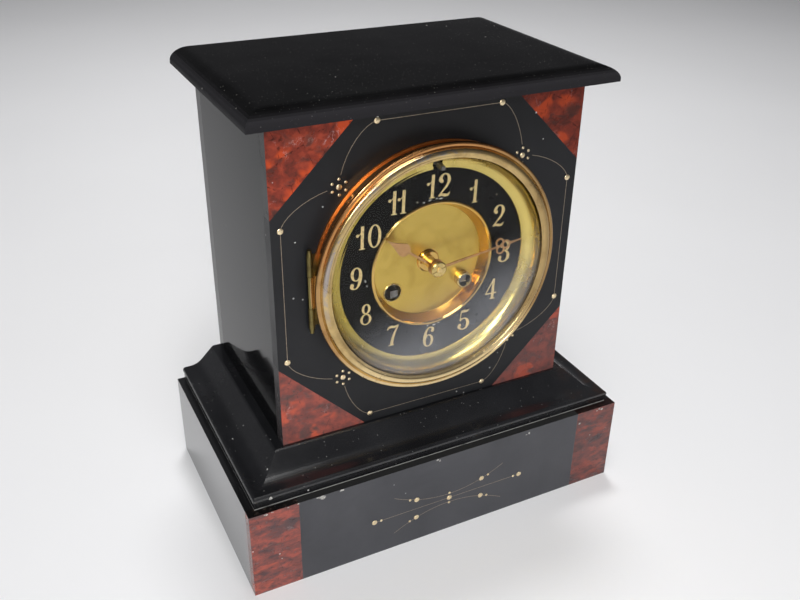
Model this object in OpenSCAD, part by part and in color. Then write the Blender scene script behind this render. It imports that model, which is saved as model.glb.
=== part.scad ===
// Slate mantel clock with a hinged brass bezel and a two-train pendulum movement.
// Millimetres, +Z up, front towards -Y, origin at the centre of the base's underside.

/* [Base] */
// Width of the base
base_w = 230; // [215:1:260]
// Depth of the base
base_d = 138; // [134:1:160]
// Height of the base below the moulding
base_h = 54; // [45:1:70]
// Thickness of the slate slabs of the case
slab_t = 10; // [8:1:12]
// Thickness of the front slab of the base
base_front_t = 12; // [10:1:16]
// Thickness of the slab that closes the base underneath
base_slab_t = 8; // [6:1:12]
// Width of the red marble block at each end of the base
block_w = 27; // [20:1:35]
// Thickness of the red marble blocks
block_t = 6; // [4:1:8]

/* [Moulding] */
// Height of the moulding on the base
mould_h = 18; // [16:0.5:24]
// Step between the base's edge and the moulding
mould_step = 4; // [2:0.5:6]
// Height of the plain fillet under the nose
mould_fillet = 3.2; // [2:0.2:4]
// Radius of the moulding's rounded nose
mould_nose_r = 2; // [1.5:0.1:2.5]
// Radius of the cove above the nose
mould_cove_r = 10; // [7:0.5:11]
// Width of the moulding slabs
mould_slab_w = 37; // [35:1:42]

/* [Body] */
// Width of the body
body_w = 172; // [166:1:186]
// Depth of the body
body_d = 112; // [108:1:116]
// Height of the body
body_h = 176; // [160:1:200]
// Thickness of the body's front slab and its marble corners
front_t = 8; // [6:0.5:9]
// Thickness of the body's back slab
back_t = 8; // [6:0.5:10]
// Side of the left marble triangles
corner_left = 47; // [35:1:52]
// Side of the right marble triangles
corner_right = 43; // [35:1:52]
// Sideways place of the base's engraving
base_pattern_x = 2; // [-3:0.5:3]
// Height of the dial's centre above the table
dial_z = 161; // [157:1:165]

/* [Top slab] */
// Overhang of the top slab at the sides
top_over_side = 12; // [8:1:18]
// Overhang of the top slab at the front
top_over_front = 12.5; // [8:0.5:18]
// Thickness of the top slab
top_t = 8; // [7:0.5:14]
// Height of the upright edge under the rounded part
top_edge = 1.5; // [1:0.5:4]
// Width of the rounded edge
top_round_w = 10.5; // [6:0.5:14]

/* [Gilding] */
// Depth of the gilded engraving
gilt_depth = 0.4; // [0.2:0.1:0.8]
// Width of the gilded lines
gilt_w = 0.3; // [0.2:0.05:0.6]
// Radius of the round gilt dots
gilt_dot_r = 1.6; // [1:0.1:1.8]
// Inset of the side lines from the body's edge
gilt_side = 5; // [4:0.5:7]
// Inset of the top line from the top slab
gilt_top = 6.5; // [4:0.5:8]
// Inset of the bottom line from the moulding
gilt_bottom = 5; // [4:0.5:7]
// Distance from the body's sides to the ends of the top line
gilt_top_in = 52; // [48:0.5:54]
// Shift of the top line to the right
gilt_top_shift = 2.7; // [0:0.1:4]
// Distance from the body's sides to the ends of the bottom line
gilt_bottom_in = 50.5; // [47:0.5:53]
// Distance from the body's sides to the rosettes
gilt_rosette_in = 35; // [33:0.5:37]
// Half length of the long line on the base
gilt_base_l = 47; // [35:1:60]

/* [Dial] */
// Outer radius of the front ring's sleeve, behind the bezel
sleeve_r = 59.6; // [59.2:0.1:60.5]
// Wall of the sleeve
sleeve_t = 1; // [0.8:0.1:1.2]
// Radius of the front ring's flange
flange_r = 66.8; // [66:0.2:67]
// Outer radius of the centre dish's rim
dish_r = 34.2; // [33:0.2:35]
// Radius of the dish's flat floor
dish_floor_r = 30.8; // [30.6:0.1:31]
// Depth of the dish behind the dial's face
dish_depth = 5.7; // [5:0.1:5.8]
// Radius at which the numerals stand
numeral_r = 43.3; // [42:0.1:45]
// Turn of the numerals about the dial, clockwise
numeral_turn = 2; // [0:0.5:4]
// Height of the numerals
numeral_h = 12.3; // [10:0.1:13]
// Height of the numerals' relief
numeral_t = 0.12; // [0.1:0.02:0.2]

/* [Bezel] */
// Outer radius of the bezel
bezel_r = 68.4; // [68:0.1:70]
// Radius of the bezel's wall beside the hinge
bezel_wall_r = 66; // [65.6:0.1:66.2]
// Depth of the bezel from the slate to its front
bezel_d = 11.9; // [11.9:0.1:14]
// Radius of the bevelled glass
glass_r = 61.2; // [60.8:0.1:61.4]
// Thickness of the glass
glass_t = 2.4; // [2:0.1:2.8]
// Width of the glass's bevel
bevel_w = 2; // [1.6:0.2:6]
// Radius of the opening in the sight ring
sight_r = 52.8; // [51.6:0.2:53.2]
// Radius of the hinge barrels
hinge_r = 1.6; // [1.3:0.1:1.8]
// Radius of the hinge pins
hinge_pin_r = 0.7; // [0.5:0.1:0.9]
// Length of the bezel hinge
hinge_l = 44; // [30:1:46]

/* [Rear door] */
// Radius of the opening in the back slab
rear_r = 56; // [54:0.5:57]
// Radius of the rear door
rear_door_r = 61; // [60:0.5:62]

/* [Hands] */
// Length of the minute hand
minute_l = 50.3; // [46:0.1:51]
// Length of the hour hand
hour_l = 34.4; // [30:0.1:35]
// Angle of the minute hand, clockwise from twelve
minute_a = 82; // [0:1:359]
// Angle of the hour hand, clockwise from twelve
hour_a = 306; // [0:1:359]
// Radius of the hand nut
nut_r = 4.3; // [3.8:0.1:5]

/* [Movement] */
// Radius of the movement plates
plate_r = 46; // [45.6:0.1:47]
// Thickness of the movement plates
plate_t = 2; // [1.6:0.1:2.4]
// Distance between the plates
plate_gap = 35; // [34:0.5:36]
// Sideways distance of the winding arbors from the centre
wind_x = 20.5; // [20.3:0.1:21]
// Distance of the winding arbors below the centre
wind_z = 14.5; // [14:0.1:14.9]
// Side of the winding squares
square_w = 4.2; // [3.6:0.1:4.6]
// Radius of the barrel drums
drum_r = 18.3; // [17.5:0.1:18.4]
// Length of the barrel drums
drum_l = 18.5; // [16:0.5:19]
// Radius of the wheel arbors
arbor_r = 0.75; // [0.65:0.05:0.8]
// Radius of the arbors' pivots
pivot_r = 0.55; // [0.4:0.05:0.6]
// Radius of the centre arbor
centre_r = 1.2; // [1:0.05:1.25]
// Distance of the pallet arbor above the centre
pallet_z = 31; // [30.5:0.1:31.5]
// Distance of the regulator arbor above the centre
regulator_z = 55; // [54.8:0.1:55.2]
// Length of the pendulum from its pivot to the bob's centre
pendulum_l = 110; // [100:1:112]
// Radius of the pendulum bob
bob_r = 15; // [12:0.5:15.5]
// Radius of the bell's mouth
bell_r = 30; // [27:0.5:30.5]

/* [Hidden] */
$fn = 72;

// Colours
slate = [0.09, 0.1, 0.11];
slate_front = [0.17, 0.18, 0.21];
marble = [0.5, 0.14, 0.09];
gilt = [0.83, 0.68, 0.36];
brass = [0.78, 0.62, 0.26];
copper = [0.78, 0.5, 0.32];
steel = [0.62, 0.63, 0.66];
black = [0.03, 0.03, 0.035];

// Small fits
run = 0.05; // between a turning piece and its hole
gap = 0.2; // between pieces that only lie near each other
over = 1; // how far a cutting shape passes a face

// Case planes
base_x = base_w / 2;
base_front = -base_d / 2;
back_y = base_d / 2;
body_x = body_w / 2;
body_front_y = back_y - body_d;
body_z0 = base_h + mould_h;
body_z1 = body_z0 + body_h;
mould_x = base_x - mould_step;
mould_y = base_front + mould_step;
mould_in_x = mould_x - mould_slab_w;
mould_in_y = mould_y + mould_slab_w;
body_in_y = body_front_y + front_t;
body_back_in = back_y - back_t;
base_back_x = base_x - slab_t;

// Dial planes: the face of the slate, the dial and the dish
face_y = body_front_y;
ring_t = 1;
dial_y = face_y - ring_t;
dish_y = dial_y + dish_depth;
sheet_t = 0.7;
sleeve_in = sleeve_r - sleeve_t;
dial_r = sleeve_in - gap;
ledge_r = dial_r - 1.9;
opening_r = sleeve_r + gap;
seat_r = 43;

// Movement planes
front_plate_y1 = face_y + 14;
front_plate_y0 = front_plate_y1 - plate_t;
back_plate_y0 = front_plate_y1 + plate_gap;
back_plate_y1 = back_plate_y0 + plate_t;
seat_t = 2;
end_shake = 0.25;
arbor_y0 = front_plate_y1 + end_shake;
arbor_y1 = back_plate_y0 - end_shake;
barrel_y1 = back_plate_y0 - 11.5;
barrel_y0 = barrel_y1 - 2;
drum_y0 = barrel_y0 - drum_l;
drum_wall = 1.2;
core_r = 3;
bearing_r = 2.6;
rear_bearing_r = 1.5;

// Wheel teeth and modules
barrel_n = 78;
barrel_m = 0.5;
second_pinion_n = 12;
inter_n = 72;
inter_m = 0.45;
centre_pinion_n = 8;
centre_n = 84;
third_m = 0.38;
third_pinion_n = 7;
third_n = 77;
escape_m = 0.32;
escape_pinion_n = 7;
escape_n = 40;
escape_r = 10.5;
cannon_n = 12;
motion_n = 36;
motion_m = 0.5;
motion_pinion_n = 10;
hour_n = 40;
hour_m = motion_m * (cannon_n + motion_n) / (motion_pinion_n + hour_n);
strike_n = 56;
pin_pinion_n = 8;
pin_n = 60;
pin_m = 0.38;
warning_pinion_n = 7;
warning_n = 49;
warning_m = 0.32;
fly_pinion_n = 7;
wheel_t = 1.2;

// Arbor places, as seen from the front and measured from the dial's centre
function dist(m, a, b) = m * (a + b) / 2;
function polar(a) = [cos(a), sin(a)];
// Point at distance ra from a and rb from b, on the left of the way from a to b
function meet(a, ra, b, rb) =
    let (d = norm(b - a), u = (b - a) / d, s = (ra * ra - rb * rb + d * d) / (2 * d))
    a + s * u + sqrt(ra * ra - s * s) * [-u[1], u[0]];
centre_at = [0, 0];
going_at = [wind_x, -wind_z];
strike_at = [-wind_x, -wind_z];
inter_at = meet(centre_at, dist(inter_m, inter_n, centre_pinion_n),
    going_at, dist(barrel_m, barrel_n, second_pinion_n));
escape_drop = 12.6;
pallet_at = [0, pallet_z];
escape_at = pallet_at - [0, escape_drop];
third_at = meet(centre_at, dist(third_m, centre_n, third_pinion_n),
    escape_at, dist(escape_m, third_n, escape_pinion_n));
motion_at = [0, -dist(motion_m, cannon_n, motion_n)];
strike2_at = strike_at + dist(barrel_m, barrel_n, second_pinion_n) * polar(106);
pin_at = strike2_at + dist(inter_m, strike_n, pin_pinion_n) * polar(88);
warning_at = pin_at + dist(pin_m, pin_n, warning_pinion_n) * polar(30);
fly_at = warning_at + dist(warning_m, warning_n, fly_pinion_n) * polar(85);
hammer_at = [-41.5, 8.5];
pillar_r = 2.2;
pillar_ring = plate_r - 3.5;
pillar_angles = [38, 84, 158, 248, 292];
function going_side(a, b) = atan2(b[1] - a[1], b[0] - a[0]);

// Planes of the wheels between the plates
inter_y = barrel_y1 + 2.6;
centre_y = back_plate_y0 - 5;
third_y = back_plate_y0 - 2.3;
escape_y = front_plate_y1 + 14;
pin_y = barrel_y0 - 3;
warning_y = front_plate_y1 + 9;

// Motion work, hour pipe, cannon pipe and hands
cannon_y0 = front_plate_y0 - 3;
motion_y0 = front_plate_y0 - 2.4;
motion_pinion_y0 = front_plate_y0 - 5.8;
hour_wheel_y0 = front_plate_y0 - 5.3;
hour_pipe_r = 3.1;
cannon_pipe_r = 2.1;
hour_hand_y = dial_y - 3.4;
minute_hand_y = dial_y - 5.4;
nut_y = dial_y - 7;
hand_t = 0.6;

// Bezel profile, as depths in front of the slate
hinge_off = bezel_wall_r + 2;
hinge_depth = 2.2;
glass_back = bezel_d - 2.7;
glass_edge = 1;
glass_front = glass_back + glass_t;
sight_back = 1.6;

// Rear parts
rear_flange_r = 63;
rear_flange_t = 1.2;
rear_lip_r = rear_r - 3.5;
rear_hinge_x = rear_flange_r + 1.8;
rear_hinge_y = back_y + rear_flange_t + 1.7;
rear_door_y = back_y + rear_flange_t + 0.15;
tang_x = 50.5;
tang_t = 2;
tang_w = 10;
screw_x = 48;
screw_r = 1.6;
screw_y0 = back_plate_y1 + 24;

// Pendulum, crutch and bell
pendulum_y = back_plate_y1 + 15;
rod_r = 1.2;
crutch_y = back_plate_y1 + 2;
crutch_l = 29;
cock_y0 = back_plate_y1 + 10;
cock_y1 = cock_y0 + 2.5;
chop_w = 2;
bell_at = [14, -10];
bell_y0 = back_plate_y1 + 23;
bell_depth = 19;
bell_wall = 1.6;
hammer_head_r = 3.6;
hammer_head_l = 8;
hammer_y = bell_y0 + 3;
hammer_reach = bell_r + hammer_head_l / 2 + 0.3;
// Direction from the bell to the hammer's head, where the stem stands square to the blow
hammer_dir = let (v = bell_at - hammer_at) acos(-hammer_reach / norm(v)) + atan2(v[1], v[0]);
hammer_head_at = bell_at + hammer_reach * polar(hammer_dir);

// Basic shapes

// Box given by its two corners
module block(lo, hi) translate(lo) cube(hi - lo);

// A flat shape, drawn as seen from the front, filling the depth from y0 to y1
module flat(y0, y1) translate([0, y1, 0]) rotate([90, 0, 0]) linear_extrude(y1 - y0) children();

// The same, drawn about the dial's centre
module flat_dial(y0, y1) translate([0, 0, dial_z]) flat(y0, y1) children();

// Round bar along Y at a place given from the dial's centre
module bar(at, r, y0, y1) flat_dial(y0, y1) translate(at) circle(r);

// Body turned about a line along Y, from a profile of [radius, y] points
module turned(at, profile)
    translate([at[0], 0, dial_z + at[1]]) rotate([-90, 0, 0]) rotate_extrude() polygon(profile);

// Points along part of an ellipse
function arc(c, rx, ry, a0, a1, n) =
    [for (i = [0:n]) let (a = a0 + (a1 - a0) * i / n) c + [rx * cos(a), ry * sin(a)]];

// Outline of a line of changing width drawn through points
function side_step(p, i) =
    let (q = p[min(i + 1, len(p) - 1)] - p[max(i - 1, 0)]) [-q[1], q[0]] / norm(q);
function ribbon(p, w) = concat(
    [for (i = [0:len(p) - 1]) p[i] - side_step(p, i) * w[i] / 2],
    [for (i = [len(p) - 1:-1:0]) p[i] + side_step(p, i) * w[i] / 2]);
function even(p, w) = [for (i = [0:len(p) - 1]) w];

module line(p, w) polygon(ribbon(p, even(p, w)));

// Toothed wheel outline with a tooth on the direction given by phase
function teeth(n, m, phase, tip, root, add, ded) =
    let (r = n * m / 2, ra = r + add * m, rr = r - ded * m, half = PI * m / 2)
    [for (i = [0:n - 1], k = [[rr, -root], [ra, -tip], [ra, tip], [rr, root]])
        k[0] * polar(phase + 360 * i / n + k[1] * half / k[0] * 180 / PI)];
module wheel_teeth(n, m, phase) polygon(teeth(n, m, phase, 0.22, 0.46, 0.8, 1.3));
// A pinion shows a gap on the direction given by phase
module pinion_teeth(n, m, phase)
    polygon(teeth(n, m, phase + 180 / n, 0.2, 0.42, 0.55, 1.5));

// Windows between the arms of a wheel
module windows(r_in, r_out, arms, arm_w) difference() {
    circle(r_out);
    circle(r_in);
    for (i = [0:arms - 1]) rotate(360 * i / arms) translate([0, -arm_w / 2]) square([r_out + over, arm_w]);
}

// Crossed-out brass wheel on its arbor
module crossed_wheel(at, n, m, phase, y0, arms, rim = 0.6) flat_dial(y0, y0 + wheel_t) translate(at)
    difference() {
        wheel_teeth(n, m, phase);
        windows(3.2, n * m / 2 - 2.6 * m - rim, arms, 1.4);
    }

module pinion(at, n, m, phase, y0, y1) flat_dial(y0, y1) translate(at) pinion_teeth(n, m, phase);

// Arbor between the plates with a pivot at each end
module arbor(at) {
    bar(at, arbor_r, arbor_y0, arbor_y1);
    bar(at, pivot_r, front_plate_y0, back_plate_y1);
}

// Case

// Gilded pattern on the base's front, drawn about its centre
module base_pattern() {
    rise = 6.4;
    sag = 0.0079;
    reach = 35;
    dot_x = 21;
    small_r = 0.8;
    line([[-gilt_base_l, 0], [gilt_base_l, 0]], gilt_w);
    for (s = [-1, 1]) {
        line([for (i = [-7:7]) [i * reach / 7, s * (3 + sag * pow(i * reach / 7, 2))]], gilt_w);
        translate([s * gilt_base_l, 0]) circle(gilt_dot_r);
        translate([s * (gilt_base_l - 4), 0]) circle(small_r);
        translate([0, s * 3.5]) circle(small_r);
        for (t = [-1, 1]) translate([s * dot_x, t * rise]) circle(gilt_dot_r);
        for (t = [-1, 1]) translate([s * (dot_x + 4.2), t * (rise + 1.3)]) circle(small_r);
    }
    circle(gilt_dot_r + 0.2);
}

module plinth_front() color(slate_front) difference() {
    union() {
        block([-base_x + block_w, base_front, 0], [base_x - block_w, base_front + base_front_t, base_h]);
        block([-base_back_x, base_front + block_t, 0], [base_back_x, base_front + base_front_t, base_h]);
    }
    translate([base_pattern_x, 0, base_pattern_z]) flat(base_front - over, base_front + gilt_depth)
        base_pattern();
}
base_pattern_z = base_h * 0.425;

module plinth_marbles() color(marble) for (s = [0, 1]) mirror([s, 0, 0])
    block([base_x - block_w, base_front, 0], [base_x, base_front + block_t, base_h]);

module plinth_sides() color(slate) for (s = [0, 1]) mirror([s, 0, 0])
    block([base_back_x, base_front + block_t, 0], [base_x, back_y, base_h]);

module base_slab() color(slate)
    block([-base_back_x, base_front + base_front_t, 0], [base_back_x, body_back_in, base_slab_t]);

module base_back() color(slate) {
    block([-base_back_x, body_back_in, 0], [base_back_x, back_y, base_h]);
    block([-mould_in_x, body_back_in, base_h - over], [mould_in_x, back_y, body_z0]);
}

// Moulding section: u runs inwards from the moulding's face, w upwards from the base
cove_turn = 45;
cove_u = mould_nose_r + 3;
cove_w = mould_fillet + 2 * mould_nose_r;
cove_end = [cove_u, cove_w] + mould_cove_r * [sin(cove_turn), 1 - cos(cove_turn)];
slope_top = mould_h - 0.6;
mould_section = concat(
    [[mould_slab_w, mould_h], [mould_slab_w, 0], [0.6, 0], [0.6, mould_fillet]],
    arc([mould_nose_r, mould_fillet + mould_nose_r], mould_nose_r, mould_nose_r, 225, 90, 8),
    [for (i = [0:6]) let (a = cove_turn * i / 6) [cove_u, cove_w] + mould_cove_r * [sin(a), 1 - cos(a)]],
    [cove_end + (slope_top - cove_end[1]) * [1, 1]],
    [cove_end + (slope_top - cove_end[1]) * [1, 1] + [1, 0.6]]);

module moulding_front() color(slate) difference() {
    translate([-mould_x, mould_y, base_h]) rotate([90, 0, 90])
        linear_extrude(2 * mould_x) polygon(mould_section);
    for (s = [0, 1]) mirror([s, 0, 0]) translate([mould_x, mould_y, base_h - over]) rotate(45)
        translate([0, -mould_slab_w]) cube([mould_slab_w * 2, mould_slab_w * 4, mould_h + 2 * over]);
}

module moulding_sides() color(slate) for (s = [0, 1]) mirror([s, 0, 0]) difference() {
    translate([mould_x, back_y, base_h]) rotate([90, 0, 0]) mirror([1, 0, 0])
        linear_extrude(back_y - mould_y) polygon(mould_section);
    translate([mould_x, mould_y, base_h - over]) rotate(45)
        translate([-mould_slab_w * 2, -mould_slab_w])
            cube([mould_slab_w * 2, mould_slab_w * 4, mould_h + 2 * over]);
}

// Triangle in a corner of the body's face; s is the side and t is down or up
module corner_tri(s, t) {
    c = s < 0 ? corner_left : corner_right;
    p = [s * body_x, t < 0 ? body_z0 : body_z1];
    polygon([p, p - [s * c, 0], p - [0, t * c]]);
}

// Gilded pattern on the body's face, drawn in true height
function top_dot(s) = [body_x - gilt_top_in + s * gilt_top_shift, body_z1 - gilt_top];
high_dot = [body_x - gilt_side, dial_z + 34];
low_dot = [body_x - gilt_side, dial_z - 38.5];
bottom_dot = [body_x - gilt_bottom_in, body_z0 + gilt_bottom];
rosette_high = [body_x - gilt_rosette_in, dial_z + 51];
rosette_low = [body_x - gilt_rosette_in, dial_z - 56];
petal_ring = 4;
petal_r = 0.8;
module rosette() {
    circle(1.5);
    for (i = [0:5]) rotate(60 * i + 30) translate([petal_ring, 0]) circle(petal_r);
}
// Flattened quarter of an ellipse from p, where it runs level, to q, where it runs upright
flatness = 1.25;
module quarter(p, q, a0, a1) line([for (i = [0:8]) let (a = a0 + (a1 - a0) * i / 8)
    [p[0] + (q[0] - p[0]) * pow(cos(a), flatness), q[1] + (p[1] - q[1]) * pow(sin(a), flatness)]], gilt_w);
module face_pattern() {
    line([[-top_dot(-1)[0], top_dot(-1)[1]], top_dot(1)], gilt_w);
    line([[-bottom_dot[0], bottom_dot[1]], bottom_dot], gilt_w);
    for (s = [0, 1]) mirror([s, 0]) {
        top = top_dot(1 - 2 * s);
        line([low_dot, high_dot], gilt_w);
        for (p = [top, high_dot, low_dot, bottom_dot]) translate(p) circle(gilt_dot_r);
        translate(rosette_high) rosette();
        translate(rosette_low) rosette();
        quarter(top, rosette_high, 16, 89);
        quarter(rosette_high, high_dot, 1, 74);
        quarter(bottom_dot, rosette_low, 16, 89);
        quarter(rosette_low, low_dot, 1, 74);
    }
}

module body_front() color(slate_front) difference() {
    flat(face_y, body_in_y) difference() {
        translate([-body_x, body_z0]) square([body_w, body_h]);
        for (s = [-1, 1], t = [-1, 1]) corner_tri(s, t);
        translate([0, dial_z]) circle(opening_r);
    }
    flat(face_y - over, face_y + gilt_depth) face_pattern();
}

module marble_corners() color(marble) flat(face_y, body_in_y)
    for (s = [-1, 1], t = [-1, 1]) corner_tri(s, t);

module gilt_inlay() color(gilt) {
    flat(face_y, face_y + gilt_depth) face_pattern();
    translate([base_pattern_x, 0, base_pattern_z]) flat(base_front, base_front + gilt_depth) base_pattern();
}

module body_side() block([body_x - slab_t, body_in_y, body_z0], [body_x, body_back_in, body_z1]);
module body_side_right() color(slate) body_side();
module body_side_left() color(slate) mirror([1, 0, 0]) body_side();

module body_back() color(slate) flat(body_back_in, back_y) difference() {
    translate([-body_x, body_z0]) square([body_w, body_h]);
    translate([0, dial_z]) circle(rear_r);
}

// Rounded edge of the top slab: u inwards, w upwards
top_x = body_x + top_over_side;
top_y = body_front_y - top_over_front;
round_h = top_t - top_edge;
module top_edge_cut(l) rotate([90, 0, 90]) translate([0, 0, -over]) linear_extrude(l + 2 * over)
    polygon(concat([[-over, top_edge], [-over, top_t + over], [top_round_w, top_t + over]],
        arc([top_round_w, top_edge], top_round_w, round_h, 90, 180, 9)));
module top_slab() color(slate) translate([0, 0, body_z1]) difference() {
    block([-top_x, top_y, 0], [top_x, back_y, top_t]);
    translate([-top_x, top_y, 0]) top_edge_cut(2 * top_x);
    for (s = [0, 1]) mirror([s, 0, 0])
        translate([top_x, top_y, 0]) rotate(90) top_edge_cut(back_y - top_y);
}

// Dial

// Brass ring that passes through the slate and carries the dial and the movement
module front_ring() color(brass) {
    difference() {
        turned([0, 0], [[ledge_r, face_y], [sleeve_in, face_y], [sleeve_in, dial_y], [flange_r, dial_y],
            [flange_r, face_y], [sleeve_r, face_y], [sleeve_r, front_plate_y0],
            [seat_r, front_plate_y0], [seat_r, front_plate_y0 - seat_t],
            [sleeve_in, front_plate_y0 - seat_t], [sleeve_in, face_y + 1], [ledge_r, face_y + 1]]);
        bar([0, regulator_z], 2, front_plate_y0 - 2 * seat_t, front_plate_y0 + over);
    }
    for (s = [-1, 1]) tang(s);
    hinge_leaf(-hinge_off, face_y - hinge_depth, face_y, -(hinge_off - 6));
}

// Strap that runs back from the ring, with a threaded block for the case screw
module tang(s) difference() {
    union() {
        flat_dial(front_plate_y0 - seat_t, screw_y0 + 6)
            translate([s > 0 ? tang_x : -tang_x - tang_t, -tang_w / 2])
            square([tang_t, tang_w]);
        flat_dial(screw_y0, screw_y0 + 6) translate([s > 0 ? screw_x - 3 : -tang_x - tang_t, -4])
            square([tang_x + tang_t - screw_x + 3, 8]);
    }
    bar([s * screw_x, 0], screw_r + run, screw_y0 - over, screw_y0 + 6 + over);
}

knuckle_half = hinge_l * 0.2;
knuckle_taper = 2.5;
// Fixed half of a hinge: a leaf on the ring and a knuckle at each end
module hinge_leaf(x, y, y_leaf, x_in) {
    front = y < y_leaf;
    leaf_y0 = front ? y_leaf - ring_t : y_leaf;
    leaf_y1 = front ? y_leaf : y_leaf + rear_flange_t;
    for (t = [0, 1]) translate([0, 0, dial_z]) mirror([0, 0, t]) {
        difference() {
            union() {
                translate([x, y, knuckle_half + gap / 2])
                    cylinder(r = hinge_r, h = hinge_l / 2 - knuckle_half - gap / 2 - knuckle_taper);
                translate([x, y, hinge_l / 2 - knuckle_taper])
                    cylinder(r1 = hinge_r, r2 = hinge_pin_r + 0.4, h = knuckle_taper);
                block([min(x, x_in), leaf_y0, knuckle_half + gap / 2],
                    [max(x, x_in), leaf_y1, hinge_l / 2 - knuckle_taper]);
            }
            translate([x, y, 0]) cylinder(r = hinge_pin_r + run, h = hinge_l);
        }
    }
}

// Moving knuckle with its own short leaf
module moving_knuckle(x, y, x_in, y0, y1) difference() {
    union() {
        translate([x, y, dial_z - knuckle_half + gap / 2]) cylinder(r = hinge_r, h = 2 * knuckle_half - gap);
        block([min(x, x_in), y0, dial_z - knuckle_half + gap / 2],
            [max(x, x_in), y1, dial_z + knuckle_half - gap / 2]);
    }
    translate([x, y, dial_z - hinge_l]) cylinder(r = hinge_pin_r + run, h = 2 * hinge_l);
}

// Hinge pin with a small head at each end
module hinge_pin(x, y) translate([x, y, dial_z - hinge_l / 2]) {
    cylinder(r = hinge_pin_r, h = hinge_l);
    translate([0, 0, hinge_l]) cylinder(r = hinge_pin_r + 0.4, h = 0.8);
    translate([0, 0, -0.8]) cylinder(r = hinge_pin_r + 0.4, h = 0.8);
}

module dial_ring() color(black) flat_dial(dial_y, face_y) difference() {
    circle(dial_r);
    circle(dish_r);
    translate([0, regulator_z]) circle(regulator_r + run);
}

// Numerals, each drawn in a box one unit high about its centre
thin = 0.045;
thick = 0.15;
function fat(a) = thin + (thick - thin) * pow(abs(cos(a)), 1.6);
module stroke_arc(c, rx, ry, a0, a1, n)
    polygon(ribbon(arc(c, rx, ry, a0, a1, n), [for (i = [0:n]) fat(a0 + (a1 - a0) * i / n)]));
module ball(p, r = 0.065) translate(p) circle(r, $fn = 16);
module foot(x) translate([x - 0.13, -0.5]) square([0.26, 0.04]);
module digit_1() {
    translate([-0.055, -0.5]) square([0.13, 1]);
    foot(0.01);
    line([[-0.2, 0.13], [-0.1, 0.16], [-0.04, 0.24]], 0.035);
    ball([-0.2, 0.12]);
}
module digit_0() difference() {
    polygon(arc([0, 0], 0.29, 0.51, 0, 345, 23));
    polygon(arc([0, 0], 0.165, 0.465, 0, 345, 23));
}
module digit_2() {
    stroke_arc([0, 0.22], 0.2, 0.26, 190, -25, 14);
    polygon(ribbon([[0.185, 0.12], [0.1, -0.06], [-0.08, -0.26], [-0.24, -0.46]], [0.11, 0.1, 0.06, 0.05]));
    polygon(ribbon([[-0.25, -0.45], [-0.12, -0.4], [0.04, -0.44], [0.18, -0.45], [0.27, -0.33]],
        [0.06, 0.1, 0.13, 0.09, 0.03]));
    ball([-0.14, 0.18], 0.08);
}
module digit_3() {
    stroke_arc([0, 0.25], 0.19, 0.225, 165, -80, 14);
    stroke_arc([-0.01, -0.22], 0.23, 0.26, 85, -165, 16);
    line([[-0.06, 0.035], [0.06, 0.035]], 0.05);
    ball([-0.15, 0.28], 0.075);
    ball([-0.19, -0.26], 0.08);
}
module digit_4() {
    polygon([[0.04, 0.5], [0.15, 0.5], [0.15, -0.48], [0.02, -0.48], [0.02, 0.3]]);
    line([[0.09, 0.49], [-0.27, -0.2]], 0.05);
    line([[-0.29, -0.21], [0.29, -0.21]], 0.055);
    foot(0.085);
}
module digit_5() {
    line([[-0.16, 0.46], [-0.19, 0.02]], 0.045);
    polygon(ribbon([[-0.17, 0.44], [0, 0.45], [0.14, 0.43], [0.23, 0.5]], [0.12, 0.13, 0.09, 0.03]));
    stroke_arc([-0.02, -0.19], 0.235, 0.28, 140, -165, 18);
    ball([-0.2, -0.24], 0.08);
}
module digit_9() {
    difference() {
        polygon(arc([-0.01, 0.19], 0.25, 0.31, 0, 345, 23));
        polygon(arc([-0.01, 0.19], 0.125, 0.265, 0, 345, 23));
    }
    stroke_arc([-0.06, 0.13], 0.24, 0.6, 0, -95, 12);
    stroke_arc([-0.07, -0.33], 0.14, 0.135, -80, -185, 8);
    ball([-0.19, -0.29], 0.08);
}
module digit_6() rotate(180) digit_9();
module digit_7() {
    polygon(ribbon([[-0.26, 0.3], [-0.2, 0.41], [-0.08, 0.44], [0.08, 0.4], [0.26, 0.47]],
        [0.035, 0.09, 0.12, 0.09, 0.05]));
    polygon(ribbon([[0.25, 0.46], [0.08, 0.1], [0, -0.2], [-0.04, -0.48]], [0.05, 0.09, 0.13, 0.14]));
    translate([-0.05, 0]) foot(0);
}
module digit_8() for (k = [[0.26, 0.2, 0.235], [-0.23, 0.255, 0.265]]) difference() {
    polygon(arc([0, k[0]], k[1], k[2], 0, 345, 23));
    polygon(arc([0, k[0]], k[1] - 0.11, k[2] - 0.045, 0, 345, 23));
}
module digit(d) {
    if (d == 0) digit_0();
    if (d == 1) digit_1();
    if (d == 2) digit_2();
    if (d == 3) digit_3();
    if (d == 4) digit_4();
    if (d == 5) digit_5();
    if (d == 6) digit_6();
    if (d == 7) digit_7();
    if (d == 8) digit_8();
    if (d == 9) digit_9();
}
numeral_digits = [[1, 2], [1], [2], [3], [4], [5], [6], [7], [8], [9], [1, 0], [1, 1]];
function pair_step(d) = d == 1 ? 0.36 : 0.5;
module numeral(d) {
    if (len(d) == 1) digit(d[0]);
    if (len(d) == 2) for (i = [0, 1])
        translate([(i - 0.5) * pair_step(d[1]) - 0.02 + 0.05 * i, 0]) digit(d[i]);
}
module numerals() color(gilt) for (h = [0:11])
    flat_dial(dial_y - numeral_t, dial_y) rotate(-numeral_turn) translate(numeral_r * polar(90 - 30 * h))
        scale(numeral_h) numeral(numeral_digits[h]);

// Sunk brass centre with a beaded rim and a boss round the hands' pipe
boss_r = 6;
boss_t = 1.6;
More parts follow.
